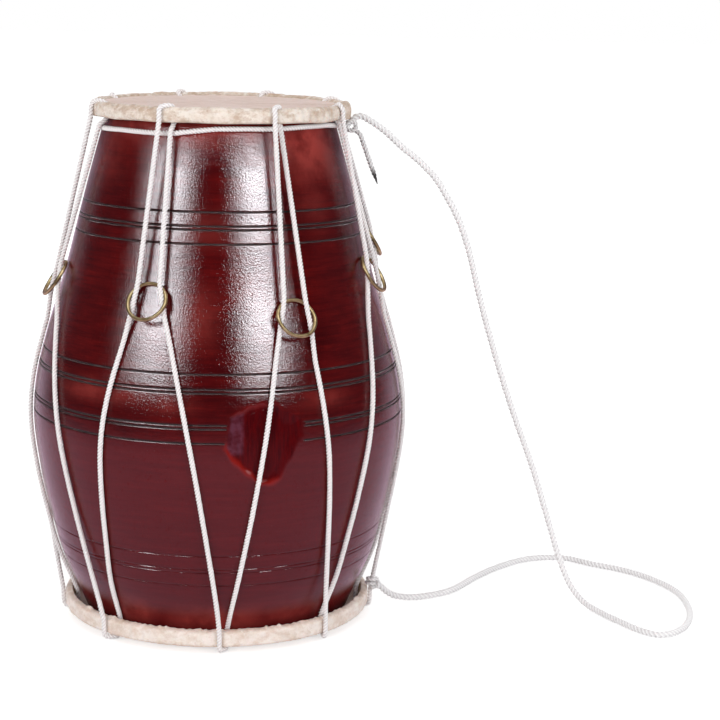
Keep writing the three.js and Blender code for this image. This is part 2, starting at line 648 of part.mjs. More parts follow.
// Lower knot of the strap: one turn round the outside strand just above the hoop, and the
// bulk of the knot beside it
function strapBottomKnot() {
  const { place, rise } = knottedStrand();
  const turn = new THREE.TorusGeometry(LOWER_KNOT_EYE, STRAP_RADIUS, RING_SIDES, RING_STEPS);
  along(turn, place, place.clone().add(rise));
  const middle = lowerKnotPlace();
  const bulk = new THREE.SphereGeometry(LOWER_KNOT_RADIUS, STRAP_SIDES, STRAP_SIDES);
  bulk.translate(middle.x, middle.y, middle.z);
  return toGeometry(toSolid(turn).add(toSolid(bulk)).add(strapStub(middle, strapRoute().at(-1))));
}

const wood = new THREE.MeshStandardMaterial({ color: 0x5a1a15, roughness: 0.18, metalness: 0 });
const cane = new THREE.MeshStandardMaterial({ color: 0xb08a5a, roughness: 0.7, metalness: 0 });
const hide = new THREE.MeshStandardMaterial({ color: 0xeeddc8, roughness: 0.65, metalness: 0 });
const paste = new THREE.MeshStandardMaterial({ color: 0x2a211c, roughness: 0.9, metalness: 0 });
const cotton = new THREE.MeshStandardMaterial({ color: 0xf4efe9, roughness: 0.85, metalness: 0 });
const brass = new THREE.MeshStandardMaterial({ color: 0xb89a5e, roughness: 0.35, metalness: 1 });

const dhol = new THREE.Group();
function addPart(name, geometry, material) {
  const mesh = new THREE.Mesh(sealed(geometry), material);
  mesh.name = name;
  dhol.add(mesh);
  return mesh;
}

addPart('barrel_shell', barrelShell(), wood);
addPart('top_hoop', hoop(TOP_HOOP_INNER, TOP_HOOP_OUTER, TOP_HOOP_FOOT_Z, TOP_HOOP_TOP_Z), cane);
addPart('top_head_skin', topHeadSkin(), hide);
const bottomHoop = hoop(BOTTOM_HOOP_INNER, BOTTOM_HOOP_OUTER, BOTTOM_HOOP_FOOT_Z, BOTTOM_HOOP_TOP_Z);
addPart('bottom_hoop', bottomHoop, cane);
addPart('bottom_head_skin', bottomHeadSkin(), hide);
addPart('bass_tuning_paste', bassPaste(), paste);
addPart('lacing_rope', rope(lacingRoute(), ROPE_RADIUS, ROPE_SIDES), cotton);
addPart('lacing_knot', lacingKnot(), cotton);
addPart('top_girth_rope', girthRope(), cotton);
RING_ANGLES.forEach((angle, k) => {
  const ring = new THREE.TorusGeometry(RING_RADIUS, RING_WIRE_RADIUS, RING_SIDES, RING_STEPS);
  addPart(`tuning_ring_${k + 1}`, ring, brass).applyMatrix4(ringFrame(k));
});
addPart('strap_cord', rope(strapRoute(), STRAP_RADIUS, STRAP_SIDES, 2), cotton);
addPart('strap_top_knot', strapTopKnot(), cotton);
addPart('strap_bottom_knot', strapBottomKnot(), cotton);

export default dhol;
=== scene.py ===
"""Looks of a rope-laced barrel drum: lacquered shell, lapped skins, twisted cotton ropes and
brass rings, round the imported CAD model. Shapes are worked out in millimetres and written to
the meshes in metres, in the CAD's frame."""
import math

import bpy
import numpy as np
from mathutils import Matrix, Vector


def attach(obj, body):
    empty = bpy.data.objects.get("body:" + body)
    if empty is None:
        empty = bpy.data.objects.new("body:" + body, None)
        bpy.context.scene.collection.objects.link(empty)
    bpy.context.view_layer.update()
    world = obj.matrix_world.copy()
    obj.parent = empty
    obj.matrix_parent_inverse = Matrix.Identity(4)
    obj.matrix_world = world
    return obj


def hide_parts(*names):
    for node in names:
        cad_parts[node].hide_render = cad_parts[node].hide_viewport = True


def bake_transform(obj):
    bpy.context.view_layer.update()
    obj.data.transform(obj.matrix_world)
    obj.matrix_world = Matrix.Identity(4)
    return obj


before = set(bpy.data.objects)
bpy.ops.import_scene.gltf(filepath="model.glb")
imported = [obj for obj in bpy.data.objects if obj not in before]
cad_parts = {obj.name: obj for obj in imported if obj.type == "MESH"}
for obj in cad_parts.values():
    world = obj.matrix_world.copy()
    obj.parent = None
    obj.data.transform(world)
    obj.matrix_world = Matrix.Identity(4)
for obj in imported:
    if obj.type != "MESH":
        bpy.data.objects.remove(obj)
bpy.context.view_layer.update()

MM = 0.001
TAU = 2 * math.pi

# Sizes repeated from the CAD source, in millimetres and degrees
SHELL_HEIGHT = 479.5
BELLY_RADIUS = 173.7
SHELL_WALL = 13
RIM_ROUND = 2.5
HEIGHT_SHARES = [0, 0.0423, 0.1219, 0.2055, 0.2891, 0.3928, 0.4764, 0.5701, 0.685, 0.7897,
                 0.8935, 1]
RADIUS_SHARES = [0.708, 0.757, 0.852, 0.9145, 0.965, 1, 0.982, 0.918, 0.823, 0.749, 0.673, 0.588]
BORE_SHARES = [1, 0.73, 0.39, 0.12, 0]
GROOVE_DEPTH = 1
PAIR_HALF_GAP = 1.6
BANDS = {"upper": (380.9, 13.6), "middle": (229, 29.4), "lower": (79.4, 14.6)}
MIDDLE_PAIR_OFFSET = 15.2
SKIN = 1.2
FIT_GAP = 0.3
HOOP_THICKNESS = 6.8
TOP_HOOP_HEIGHT = 12.5
BOTTOM_HOOP_HEIGHT = 12
HOOP_CHAMFER = 2
HOOP_RISE = 4
ROPE_DIAMETER = 4.8
ROPE_SLACK = 1.45
GIRTH_DROP = 9
GIRTH_LIFT = 0.75
TOP_HITCHES = [-158, -109.5, -60.5, -18, 28, 71, 114, 157]
BOTTOM_HITCHES = [-128.3, -83.4, -42, 0.5, 49, 92, 136, 190]
TOP_HITCH_HALF = 2.1
BOTTOM_HITCH_HALF = 1.5
LACING_START = 5
STRAP_DIAMETER = 6.6
STRAP_KNOT_ANGLE = 3
STRAP_KNOT_LENGTH = 16
STRAP_KNOT_RADIUS = 6
LOWER_KNOT_RADIUS = 4.8
STRAP_HITCH = 3
RING_RADIUS = 17.55
RING_WIRE_RADIUS = 1.7
RING_ANGLES = [-165, -109.5, -60.5, -16, 12, 71, 114, 157]
RING_HEIGHTS = [320, 316, 303, 330, 354, 330, 318, 328]
RING_TOP_SPREAD = 10.4
RING_SEAT_SPREAD = 13.4
RING_CROSSING = 4.95
STRAND_LIFT = 3.6

# The strap's way as in the CAD source, apart from its first three points
STRAP_ROUTE = [
    [126.2, 6.5, 472.2], [131.5, 7, 472.3], [138, 7.5, 469], [153, 8, 459], [168, 9, 445.5],
    [185, 11, 432], [201, 13, 416], [212, 15, 399], [224, 17, 377], [234, 19, 350], [247, 24, 301],
    [264, 31, 245], [284, 37, 187], [305, 41, 132], [322, 40, 80], [334, 34, 43], [345, 24, 18],
    [357, 8, 6.2], [370, -14, 3.6], [386, -42, 3.6], [402, -66, 3.6], [419, -78, 3.6],
    [437, -66, 3.6], [452, -36, 3.6], [459, 6, 3.6], [455, 56, 3.6], [437, 96, 3.6],
    [412, 125, 3.6], [384, 143, 3.6], [354, 164, 3.6], [318, 159, 3.6], [284, 129, 3.6],
    [256, 90, 3.6], [228, 43, 3.6], [208, 27, 3.6], [186, 18, 3.9], [169, 12.5, 8.5],
]
TAIL_ROUTE = [
    [129, 6.5, 456.5], [133.3, 7, 446], [137.8, 8, 433.9], [142.2, 9, 421.8], [144.7, 9, 415.3],
    [146.5, 9, 409.7],
]

# How the strands hang below the rings: how far apart they pass behind the ring, how soon they
# turn towards their hitch and how far they swing off that way, in degrees
LEFT_SPREADS = [13.4, 14.4, 16, 16.4, 13.4, 13.4, 13.4, 13.4]
RIGHT_SPREADS = [16.4, 16, 13.6, 13.4, 13.4, 13.4, 13.4, 13.4]
LEFT_TURNS = [(1, 0), (1.3, -1), (1.05, -0.5), (2.15, -0.5), (1, 0), (1, 0), (1, 0), (1, 0)]
RIGHT_TURNS = [(1.9, 2.25), (1.4, 0.75), (0.7, -0.25), (1, 0), (1, 0), (1, 0), (1, 0), (1, 0)]
ROPE_LIFT = 0.6

# Heights of the girth rope round the drum, by angle
GIRTH_HEIGHTS = [
    (-180, 460.5), (-172, 459.8), (-137, 461.1), (-116, 460.3), (-107.4, 460.6), (-97, 463.2),
    (-88, 465.2), (-74, 465.6), (-60.6, 465.2), (-45, 466.4), (-26, 466.8), (-8, 465), (3, 463.5),
    (30, 462), (90, 463), (150, 461), (180, 460.5),
]

ROPE_RADIUS = ROPE_DIAMETER / 2
STRAP_RADIUS = STRAP_DIAMETER / 2
SHELL_FOOT_Z = SKIN + FIT_GAP
SHELL_TOP_Z = SHELL_FOOT_Z + SHELL_HEIGHT
TOP_SKIN_UNDER_Z = SHELL_TOP_Z + FIT_GAP
TOP_SKIN_Z = TOP_SKIN_UNDER_Z + SKIN
TOP_LAP_Z = TOP_SKIN_Z + HOOP_RISE
TOP_HOOP_TOP_Z = TOP_LAP_Z - SKIN - FIT_GAP
TOP_HOOP_FOOT_Z = TOP_HOOP_TOP_Z - TOP_HOOP_HEIGHT
TOP_LAP_FOOT_Z = TOP_HOOP_FOOT_Z - FIT_GAP - SKIN
BOTTOM_LAP_FOOT_Z = ROPE_DIAMETER + 2 * FIT_GAP
BOTTOM_HOOP_FOOT_Z = BOTTOM_LAP_FOOT_Z + SKIN + FIT_GAP
BOTTOM_HOOP_TOP_Z = BOTTOM_HOOP_FOOT_Z + BOTTOM_HOOP_HEIGHT
BOTTOM_LAP_Z = BOTTOM_HOOP_TOP_Z + FIT_GAP + SKIN
GIRTH_Z = TOP_LAP_FOOT_Z - GIRTH_DROP


def shell_radius(z):
    """Outside radius of the shell at one height or at an array of heights."""
    share = np.clip((np.asarray(z, float) - SHELL_FOOT_Z) / SHELL_HEIGHT, 0, 1)
    heights, radii = np.array(HEIGHT_SHARES), np.array(RADIUS_SHARES)
    last = len(heights) - 1
    i = np.clip(np.searchsorted(heights, share, side="left") - 1, 0, last - 1)
    low, high = np.maximum(np.arange(last + 1) - 1, 0), np.minimum(np.arange(last + 1) + 1, last)
    slope = (radii[high] - radii[low]) / (heights[high] - heights[low])
    span = heights[i + 1] - heights[i]
    t = (share - heights[i]) / span
    start = radii[i] * (1 + 2 * t) * (1 - t) ** 2
    end = radii[i + 1] * (3 - 2 * t) * t ** 2
    bend = slope[i] * t * (1 - t) ** 2 - slope[i + 1] * (1 - t) * t ** 2
    return BELLY_RADIUS * (start + end + span * bend)


def shell_lean(z):
    return float(np.arctan2(shell_radius(z + 1.5) - shell_radius(z - 1.5), 3))


def rope_on_shell(z, clearance):
    return float(shell_radius(z)) + (ROPE_RADIUS + clearance) / math.cos(shell_lean(z))


def polar(radius, angle, z):
    turn = math.radians(angle)
    return np.array([radius * math.cos(turn), radius * math.sin(turn), z])


def unit(v):
    return v / np.linalg.norm(v)


def smooth_step(x):
    t = np.clip(x, 0, 1)
    return t * t * (3 - 2 * t)


def hump(x, half_width):
    """Smooth bump that is 1 at 0 and 0 from the half width on."""
    return smooth_step(1 - np.abs(x) / half_width)


def angle_apart(a, b):
    """Signed difference of two angles in degrees, between -180 and 180."""
    return (a - b + 180) % 360 - 180


def arc_apart(a, b, radius):
    """Signed length of the arc between two angles in degrees."""
    return angle_apart(a, b) * math.radians(1) * radius


def rim_shift(angle):
    """How far the upper hoop's roll stands above its mean height: it was pulled down unevenly."""
    a = np.radians(angle)
    return -1.1 + 1.85 * np.sin(a) - 0.7 * np.cos(2 * a)


def head_shift(angle):
    """How far the upper rim of the shell stands above its mean height."""
    return 0.6 + 1.2 * np.sin(np.radians(angle))


def girth_z(angle):
    angles, heights = zip(*GIRTH_HEIGHTS)
    return float(np.interp(angle_apart(angle, 0), angles, heights))


TOP_HOOP_INNER = float(shell_radius(TOP_LAP_FOOT_Z)) + ROPE_DIAMETER + ROPE_SLACK
TOP_LAP_RADIUS = TOP_HOOP_INNER + HOOP_THICKNESS + FIT_GAP + SKIN
TOP_SLOT_RADIUS = TOP_HOOP_INNER - (ROPE_DIAMETER + ROPE_SLACK) / 2
BOTTOM_HOOP_INNER = float(shell_radius(BOTTOM_LAP_Z)) + ROPE_DIAMETER + ROPE_SLACK
BOTTOM_LAP_RADIUS = BOTTOM_HOOP_INNER + HOOP_THICKNESS + FIT_GAP + SKIN
BOTTOM_SLOT_RADIUS = BOTTOM_HOOP_INNER - (ROPE_DIAMETER + ROPE_SLACK) / 2
BOTTOM_FACE_RADIUS = BOTTOM_LAP_RADIUS + ROPE_RADIUS + FIT_GAP
BOTTOM_UNDER_Z = BOTTOM_LAP_FOOT_Z - ROPE_RADIUS - FIT_GAP


# Waves that repeat round the drum, for unevenness in the shapes
def waves(seed, count, lowest, highest, across=0.0):
    """Frequencies round the drum, frequencies along the other way, phases and sizes."""
    draw = np.random.RandomState(seed)
    turns = draw.randint(lowest, highest + 1, count)
    other = draw.uniform(-across, across, count)
    phases = draw.uniform(0, TAU, count)
    sizes = draw.uniform(0.4, 1, count)
    return turns, other, phases, sizes / np.sqrt((sizes ** 2).sum() / 2)


def wavy(field, angle, along=0.0):
    """Value of the waves, mostly between -1 and 1, at angles in radians."""
    total = 0
    for turns, other, phase, size in zip(*field):
        total = total + size * np.cos(turns * angle + other * along + phase)
    return total * 0.6


# Meshes
def add_object(name, data):
    made = bpy.data.objects.new(name, data)
    bpy.context.scene.collection.objects.link(made)
    return made


def add_values(mesh, name, values):
    """Named numbers at the mesh's points, which its material can read."""
    attribute = mesh.attributes.new(name, "FLOAT", "POINT")
    attribute.data.foreach_set("value", np.asarray(values, np.float32).ravel())


def mesh_piece(name, points, quads, material, body="drum", caps=(), uv=None, zones=(), values=None):
    """A smooth mesh piece from points in millimetres, four-sided faces and end caps. uv holds
    one pair for each corner of the four-sided faces, zones are other materials with the faces
    that they are on, and values are named numbers at the points."""
    mesh = bpy.data.meshes.new(name)
    faces = [tuple(face) for face in np.asarray(quads).tolist()] + [tuple(cap) for cap in caps]
    mesh.from_pydata((np.asarray(points) * MM).tolist(), [], faces)
    if uv is not None:
        layer = mesh.uv_layers.new(name="lay")
        flat = np.zeros((len(mesh.loops), 2), np.float32)
        corners = np.asarray(uv, np.float32).reshape(-1, 2)
        flat[:len(corners)] = corners
        layer.data.foreach_set("uv", flat.ravel())
    for key, field in (values or {}).items():
        add_values(mesh, key, field)
    mesh.polygons.foreach_set("use_smooth", np.ones(len(mesh.polygons), bool))
    mesh.materials.append(material)
    index = np.zeros(len(mesh.polygons), np.int32)
    for i, (other, chosen) in enumerate(zones):
        mesh.materials.append(other)
        index[:len(chosen)][chosen] = i + 1
    mesh.polygons.foreach_set("material_index", index)
    mesh.validate()
    mesh.update()
    piece = add_object(name, mesh)
    if body:
        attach(piece, body)
    return piece


def grid_quads(rows, columns, close_rows=False, flip=False):
    """Faces of a grid that is closed round its columns, and round its rows if asked."""
    row = np.arange(rows if close_rows else rows - 1)
    column = np.arange(columns)
    r, c = [a.ravel() for a in np.meshgrid(row, column, indexing="ij")]
    r2, c2 = (r + 1) % rows, (c + 1) % columns
    quads = np.stack([r * columns + c, r * columns + c2, r2 * columns + c2, r2 * columns + c], 1)
    return quads[:, ::-1] if flip else quads


def turned_rows(radii, heights, angles):
    """Points of a turned form: radii and heights are rows by columns, angles in radians."""
    return np.stack([radii * np.cos(angles), radii * np.sin(angles), heights + 0 * radii], -1)


# Twisted rope: three strands laid to the right, with the mesh following the lay
LOBES = 3
LOBE_COLUMNS = 6
ROPE_COLUMNS = LOBES * LOBE_COLUMNS
VALLEY_SHARE = 0.73


def lay_profile():
    """Share of the rope's radius at each column round it."""
    strand = 1 / (1 + 2 / math.sqrt(3))
    centre = 1 - strand
    shares = []
    for i in range(ROPE_COLUMNS):
        turn = (i % LOBE_COLUMNS) / LOBE_COLUMNS * TAU / LOBES
        turn = min(turn, TAU / LOBES - turn)
        inside = max(strand ** 2 - (centre * math.sin(turn)) ** 2, 0)
        shares.append(max(centre * math.cos(turn) + math.sqrt(inside), VALLEY_SHARE))
    return np.array(shares)


LAY_PROFILE = lay_profile()


def rounded(points, cut, samples=6):
    """A taut rope's line: straight between its points, with each corner rounded off."""
    points = [np.asarray(p, float) for p in points]
    line = [points[0]]
    for before, corner, after in zip(points, points[1:], points[2:]):
        back = min(cut, 0.48 * np.linalg.norm(corner - before))
        on = min(cut, 0.48 * np.linalg.norm(after - corner))
        start = corner + unit(before - corner) * back
        end = corner + unit(after - corner) * on
        for i in range(samples + 1):
            t = i / samples
            line.append(start * (1 - t) ** 2 + corner * 2 * t * (1 - t) + end * t ** 2)
    line.append(points[-1])
    return np.array(line)


def flowing(points, samples=12):
    """A slack rope's line: a smooth curve through its points, as the CAD's routes are."""
    points = [np.asarray(p, float) for p in points]
    points = [2 * points[0] - points[1], *points, 2 * points[-1] - points[-2]]
    line = []
    for p0, p1, p2, p3 in zip(points, points[1:], points[2:], points[3:]):
        t0, t1, t2 = (max(np.linalg.norm(b - a) ** 0.5, 1e-3)
                      for a, b in ((p0, p1), (p1, p2), (p2, p3)))
        m1 = ((p1 - p0) / t0 - (p2 - p0) / (t0 + t1) + (p2 - p1) / t1) * t1
        m2 = ((p2 - p1) / t1 - (p3 - p1) / (t1 + t2) + (p3 - p2) / t2) * t1
        for i in range(samples):
            t = i / samples
            line.append(
                p1 * (2 * t ** 3 - 3 * t ** 2 + 1) + m1 * (t ** 3 - 2 * t ** 2 + t)
                + p2 * (-2 * t ** 3 + 3 * t ** 2) + m2 * (t ** 3 - t ** 2)
            )
    line.append(points[-2])
    return np.array(line)


def step_lengths(line):
    return np.linalg.norm(np.diff(line, axis=0), axis=1)


def even_steps(line, step):
    """The line's points at even steps, and the distance of each along it."""
    line = line[np.concatenate([[True], step_lengths(line) > 1e-6])]
    along = np.concatenate([[0], np.cumsum(step_lengths(line))])
    count = max(int(round(along[-1] / step)), 2)
    stations = np.linspace(0, along[-1], count + 1)
    return np.stack([np.interp(stations, along, line[:, i]) for i in range(3)], 1), stations


def frames_along(points):
    """Unit vectors across the line at each point, carried along it without turning."""
    tangents = np.gradient(points, axis=0)
    tangents /= np.linalg.norm(tangents, axis=1)[:, None]
    across = unit(np.cross(tangents[0], [0.31, 0.2, 0.93]))
    firsts = []
    for tangent in tangents:
        across = unit(across - tangent * np.dot(across, tangent))
        firsts.append(across)
    firsts = np.array(firsts)
    return firsts, np.cross(tangents, firsts)


UNEVEN_LENGTH = 9
UNEVEN_SHARE = 0.022


class Rope:
    """A twisted rope's stations, from which pieces are cut that join without a seam."""

    def __init__(self, line, diameter, pitch, step, seed, thickness=None):
        self.points, self.along = even_steps(line, step)
        first, second = frames_along(self.points)
        turns = np.arange(ROPE_COLUMNS) / ROPE_COLUMNS * TAU
        bearing = (TAU * self.along / pitch)[:, None] + turns[None, :]
        draw = np.random.RandomState(seed)
        knots = max(int(self.along[-1] / UNEVEN_LENGTH), 3)
        places = np.linspace(0, self.along[-1], knots)
        uneven, *lobes = [np.interp(self.along, places, draw.uniform(-1, 1, knots))
                          for _ in range(1 + LOBES)]
        nearest = np.round(np.arange(ROPE_COLUMNS) / LOBE_COLUMNS).astype(int) % LOBES
        swell = 1 + UNEVEN_SHARE * uneven[:, None]
        swell = swell + 1.4 * UNEVEN_SHARE * np.stack(lobes)[nearest].T
        radius = diameter / 2 * LAY_PROFILE[None, :] * swell
        if thickness is not None:
            radius = radius * np.interp(self.along, *thickness)[:, None]
        self.rings = (
            self.points[:, None, :]
            + radius[..., None] * (np.cos(bearing)[..., None] * first[:, None, :]
                                   + np.sin(bearing)[..., None] * second[:, None, :])
        )

    def parts(self, start, end):
        """Points, faces, caps and uv of the stretch between two stations."""
        rings = self.rings[start:end + 1]
        rows = len(rings)
        quads = grid_quads(rows, ROPE_COLUMNS, flip=True)
        row, column = np.divmod(np.arange((rows - 1) * ROPE_COLUMNS), ROPE_COLUMNS)
        low = self.along[start + row] * MM
        high = self.along[start + row + 1] * MM
        left, right = column / ROPE_COLUMNS, (column + 1) / ROPE_COLUMNS
        uv = np.zeros((len(quads), 4, 2))
        for i in range(4):
            uv[:, i, 0] = np.where(quads[:, i] // ROPE_COLUMNS != row, high, low)
            uv[:, i, 1] = np.where(quads[:, i] % ROPE_COLUMNS != column, right, left)
        last = (rows - 1) * ROPE_COLUMNS
        caps = [list(range(ROPE_COLUMNS))[::-1], list(range(last, last + ROPE_COLUMNS))]
        return rings.reshape(-1, 3), quads, caps, uv


def rope_piece(name, stretches, material, body="drum"):
    """One piece from stretches of ropes, each a rope with its first and last station."""
    points, quads, caps, uvs = [], [], [], []
    first = 0
    for rope, start, end in stretches:
        p, q, c, uv = rope.parts(start, end)
        points.append(p)
        quads.append(q + first)
        caps.extend([[i + first for i in cap] for cap in c])
        uvs.append(uv)
        first += len(p)
    return mesh_piece(name, np.concatenate(points), np.concatenate(quads), material, body,
                      caps, np.concatenate(uvs))


def whole_rope(name, rope, material):
    return rope_piece(name, [(rope, 0, len(rope.points) - 1)], material)


# Materials
class Nodes:
    """A node material, or the world's nodes, written in a few lines."""

    def __init__(self, name, world=False):
        self.owner = (bpy.data.worlds if world else bpy.data.materials).new(name)
        self.owner.use_nodes = True
        self.tree = self.owner.node_tree
        self.tree.nodes.clear()
        self.output = self.node("OutputWorld" if world else "OutputMaterial")

    def node(self, kind, inputs=None, **settings):
        made = self.tree.nodes.new("ShaderNode" + kind)
        for key, value in settings.items():
            setattr(made, key, value)
        for key, value in (inputs or {}).items():
            self.set(made.inputs[key], value)
        return made

    def set(self, socket, value):
        if isinstance(value, bpy.types.NodeSocket):
            self.tree.links.new(value, socket)
        elif socket.type == "RGBA":
            socket.default_value = (*value, 1)
        else:
            socket.default_value = value

    def value(self, name):
        """A number that the mesh holds at its points."""
        return self.node("Attribute", attribute_name=name, attribute_type="GEOMETRY").outputs["Fac"]

    def place(self, scale=(1, 1, 1)):
        coordinates = self.node("TexCoord")
        mapped = self.node("Mapping", {"Vector": coordinates.outputs["Object"], "Scale": scale})
        return mapped.outputs["Vector"]

    def noise(self, scale, detail=3, roughness=0.5, vector=None, stretch=(1, 1, 1)):
        vector = self.place(stretch) if vector is None else vector
        return self.node("TexNoise", {
            "Vector": vector, "Scale": scale, "Detail": detail, "Roughness": roughness,
        }).outputs["Fac"]

    def maths(self, operation, a, b=0.0, clamp=False):
        made = self.node("Math", {0: a, 1: b}, operation=operation, use_clamp=clamp)
        return made.outputs[0]

    def times(self, a, b):
        return self.maths("MULTIPLY", a, b)

    def plus(self, a, b):
        return self.maths("ADD", a, b)

    def ray(self, kind):
        return self.node("LightPath").outputs[f"Is {kind} Ray"]

    def seen(self):
        """1 for the rays that see the white surround, and 0 for those that light the scene."""
        seen = self.maths("MAXIMUM", self.ray("Camera"), self.ray("Glossy"))
        return self.maths("MAXIMUM", seen, self.ray("Transmission"))

    def ramp(self, factor, stops):
        made = self.node("ValToRGB", {"Fac": factor})
        elements = made.color_ramp.elements
        while len(elements) < len(stops):
            elements.new(0.5)
        for element, (position, color) in zip(elements, stops):
            element.position = position
            value = color if isinstance(color, tuple) else (color, color, color)
            element.color = (*value, 1)
        return made.outputs["Color"]

    def mix(self, factor, a, b):
        made = self.node("Mix", data_type="RGBA")
        self.set(made.inputs[0], factor)
        self.set(made.inputs[6], a)
        self.set(made.inputs[7], b)
        return made.outputs[2]

    def tinted(self, color, tint, source, stops):
        """The color with a tint over it, by the ramp of a source."""
        return self.mix(self.ramp(source, stops), color, tint)

    def bump(self, height, strength, distance, normal=None):
        inputs = {"Height": height, "Strength": strength, "Distance": distance}
        if normal is not None:
            inputs["Normal"] = normal
        return self.node("Bump", inputs).outputs["Normal"]

    def surface(self, **inputs):
        shader = self.node("BsdfPrincipled")
        for key, value in inputs.items():
            self.set(shader.inputs[key.replace("_", " ")], value)
        return self.out(shader)

    def out(self, shader):
        """Ends the nodes with this shader and gives the material or world that they belong to."""
        self.tree.links.new(shader.outputs[0], self.output.inputs["Surface"])
        return self.owner


def lacquer():
    """Deep red stained wood under a thick gloss coat with a pitted, grainy surface. Its colour also
    holds painted light: a lighter rosy lower belly, lighter places at the foot and under the upper
    roll, a highlight along the planed knot's edges, a sheen on the knot's left facet and, with
    dirt, shade in and beside the grooves.
    """
    n = Nodes("maroon_lacquer")
    height = n.node("SeparateXYZ", {"Vector": n.node("TexCoord").outputs["Object"]}).outputs["Z"]
    blotches = n.noise(13, 4, 0.6, stretch=(1, 1, 1.6))
    streaks = n.noise(1, 5, 0.6, stretch=(22, 22, 260))
    fine = n.noise(1, 4, 0.65, stretch=(60, 60, 1000))
    grain = n.noise(1, 4, 0.65, stretch=(380, 380, 46))
    color = n.ramp(blotches, [(0.32, (0.046, 0.0022, 0.0030)), (0.5, (0.068, 0.0030, 0.0038)),
                              (0.68, (0.094, 0.0040, 0.0044))])
    color = n.tinted(color, (0.034, 0.0018, 0.0030), streaks, [(0.40, 0.5), (0.52, 0.0)])
    color = n.tinted(color, (0.16, 0.0065, 0.0055), streaks, [(0.58, 0.0), (0.74, 0.4)])
    color = n.tinted(color, (0.15, 0.0080, 0.0080), fine, [(0.52, 0.0), (0.7, 0.25)])
    color = n.tinted(color, (0.028, 0.0018, 0.0030), grain, [(0.54, 0.0), (0.7, 0.28)])
    # Painted floor-bounce light: below about 0.21 m the lower belly is mixed to a lighter rosy red
    wavering = n.plus(height, n.times(n.noise(24, 3, 0.6), 0.012))
    below = n.ramp(wavering, [(0.038, 1.0), (0.052, 0.85), (0.195, 0.85), (0.214, 0.0)])
    painted_floor_bounce = n.ramp(streaks, [(0.36, (0.087, 0.0052, 0.0065)), (0.64, (0.101, 0.0060, 0.0073))])
    color = n.mix(below, color, painted_floor_bounce)
    # Lighter orange-red where the mesh asks: painted light at the foot and under the upper roll,
    # lighter stain elsewhere
    patchy = n.times(n.value("lighter_stain_and_painted_light"), n.ramp(n.noise(42, 4, 0.6), [(0.33, 0.3), (0.6, 1.0)]))
    color = n.mix(patchy, color, (0.36, 0.052, 0.044))
    plain = n.ramp(grain, [(0.35, (0.085, 0.0022, 0.0032)), (0.65, (0.042, 0.0016, 0.0030))])
    color = n.mix(n.value("scar"), color, plain)
    # Painted highlight, bright red, along the planed knot's lit edges
    color = n.mix(n.value("painted_edge_highlight"), color, (0.24, 0.010, 0.007))
    # Painted lilac sheen on the knot's left facet
    painted_sheen = n.ramp(n.noise(150, 3, 0.5), [(0.38, (0.06, 0.010, 0.018)),
                                          (0.64, (0.14, 0.045, 0.075))])
    color = n.mix(n.value("sheen_painted_facet"), color, painted_sheen)
    # Dirt and painted shade beside the grooves
    color = n.mix(n.value("groove"), color, (0.010, 0.0035, 0.0035))
    color = n.tinted(color, (0.26, 0.09, 0.10), n.noise(1100, 2, 0.5), [(0.72, 0.0), (0.78, 0.3)])
    top = n.ramp(n.plus(height, n.times(n.noise(60, 4, 0.7), 0.05)), [(0.452, 0.0), (0.478, 1.0)])
    peel = n.noise(740, 2, 0.6)
    ripple = n.noise(1, 3, 0.5, stretch=(36, 36, 300))
    coat_normal = n.bump(peel, n.plus(n.times(top, 0.26), 0.34), 0.0007)
    coat_normal = n.bump(ripple, 0.05, 0.0010, coat_normal)
    pits = n.ramp(n.noise(1, 2, 0.5, stretch=(800, 800, 420)), [(0.30, 0.1), (0.36, 1.0)])
    weight = n.times(n.maths("SUBTRACT", 1.0, n.times(top, 0.58)), pits)
    weight = n.times(weight, n.ramp(height, [(0.010, 0.2), (0.045, 1.0)]))
    weight = n.times(weight, n.maths("SUBTRACT", 1.0, n.times(n.value("scar"), 0.8)))
    return n.surface(
        Base_Color=color, Roughness=0.5, Specular_IOR_Level=0.0, Normal=n.bump(fine, 0.25, 0.0005),
        Coat_Weight=weight, Coat_Roughness=0.055, Coat_IOR=1.33, Coat_Normal=coat_normal,
    )


def groove_shade():
    """Dark colour in the bottom of the turned grooves: dirt and painted shade."""
    n = Nodes("groove_dirt_and_shade")
    color = n.ramp(n.noise(240, 4, 0.6), [(0.35, (0.006, 0.003, 0.003)),
                                          (0.7, (0.022, 0.008, 0.007))])
    return n.surface(Base_Color=color, Roughness=0.75, Specular_IOR_Level=0.15)


def bare_wood():
    n = Nodes("bare_wood")
    grain = n.noise(1, 5, 0.6, stretch=(60, 60, 7))
    color = n.ramp(grain, [(0.3, (0.30, 0.17, 0.085)), (0.7, (0.50, 0.32, 0.17))])
    return n.surface(Base_Color=color, Roughness=0.75, Normal=n.bump(grain, 0.5, 0.0008))


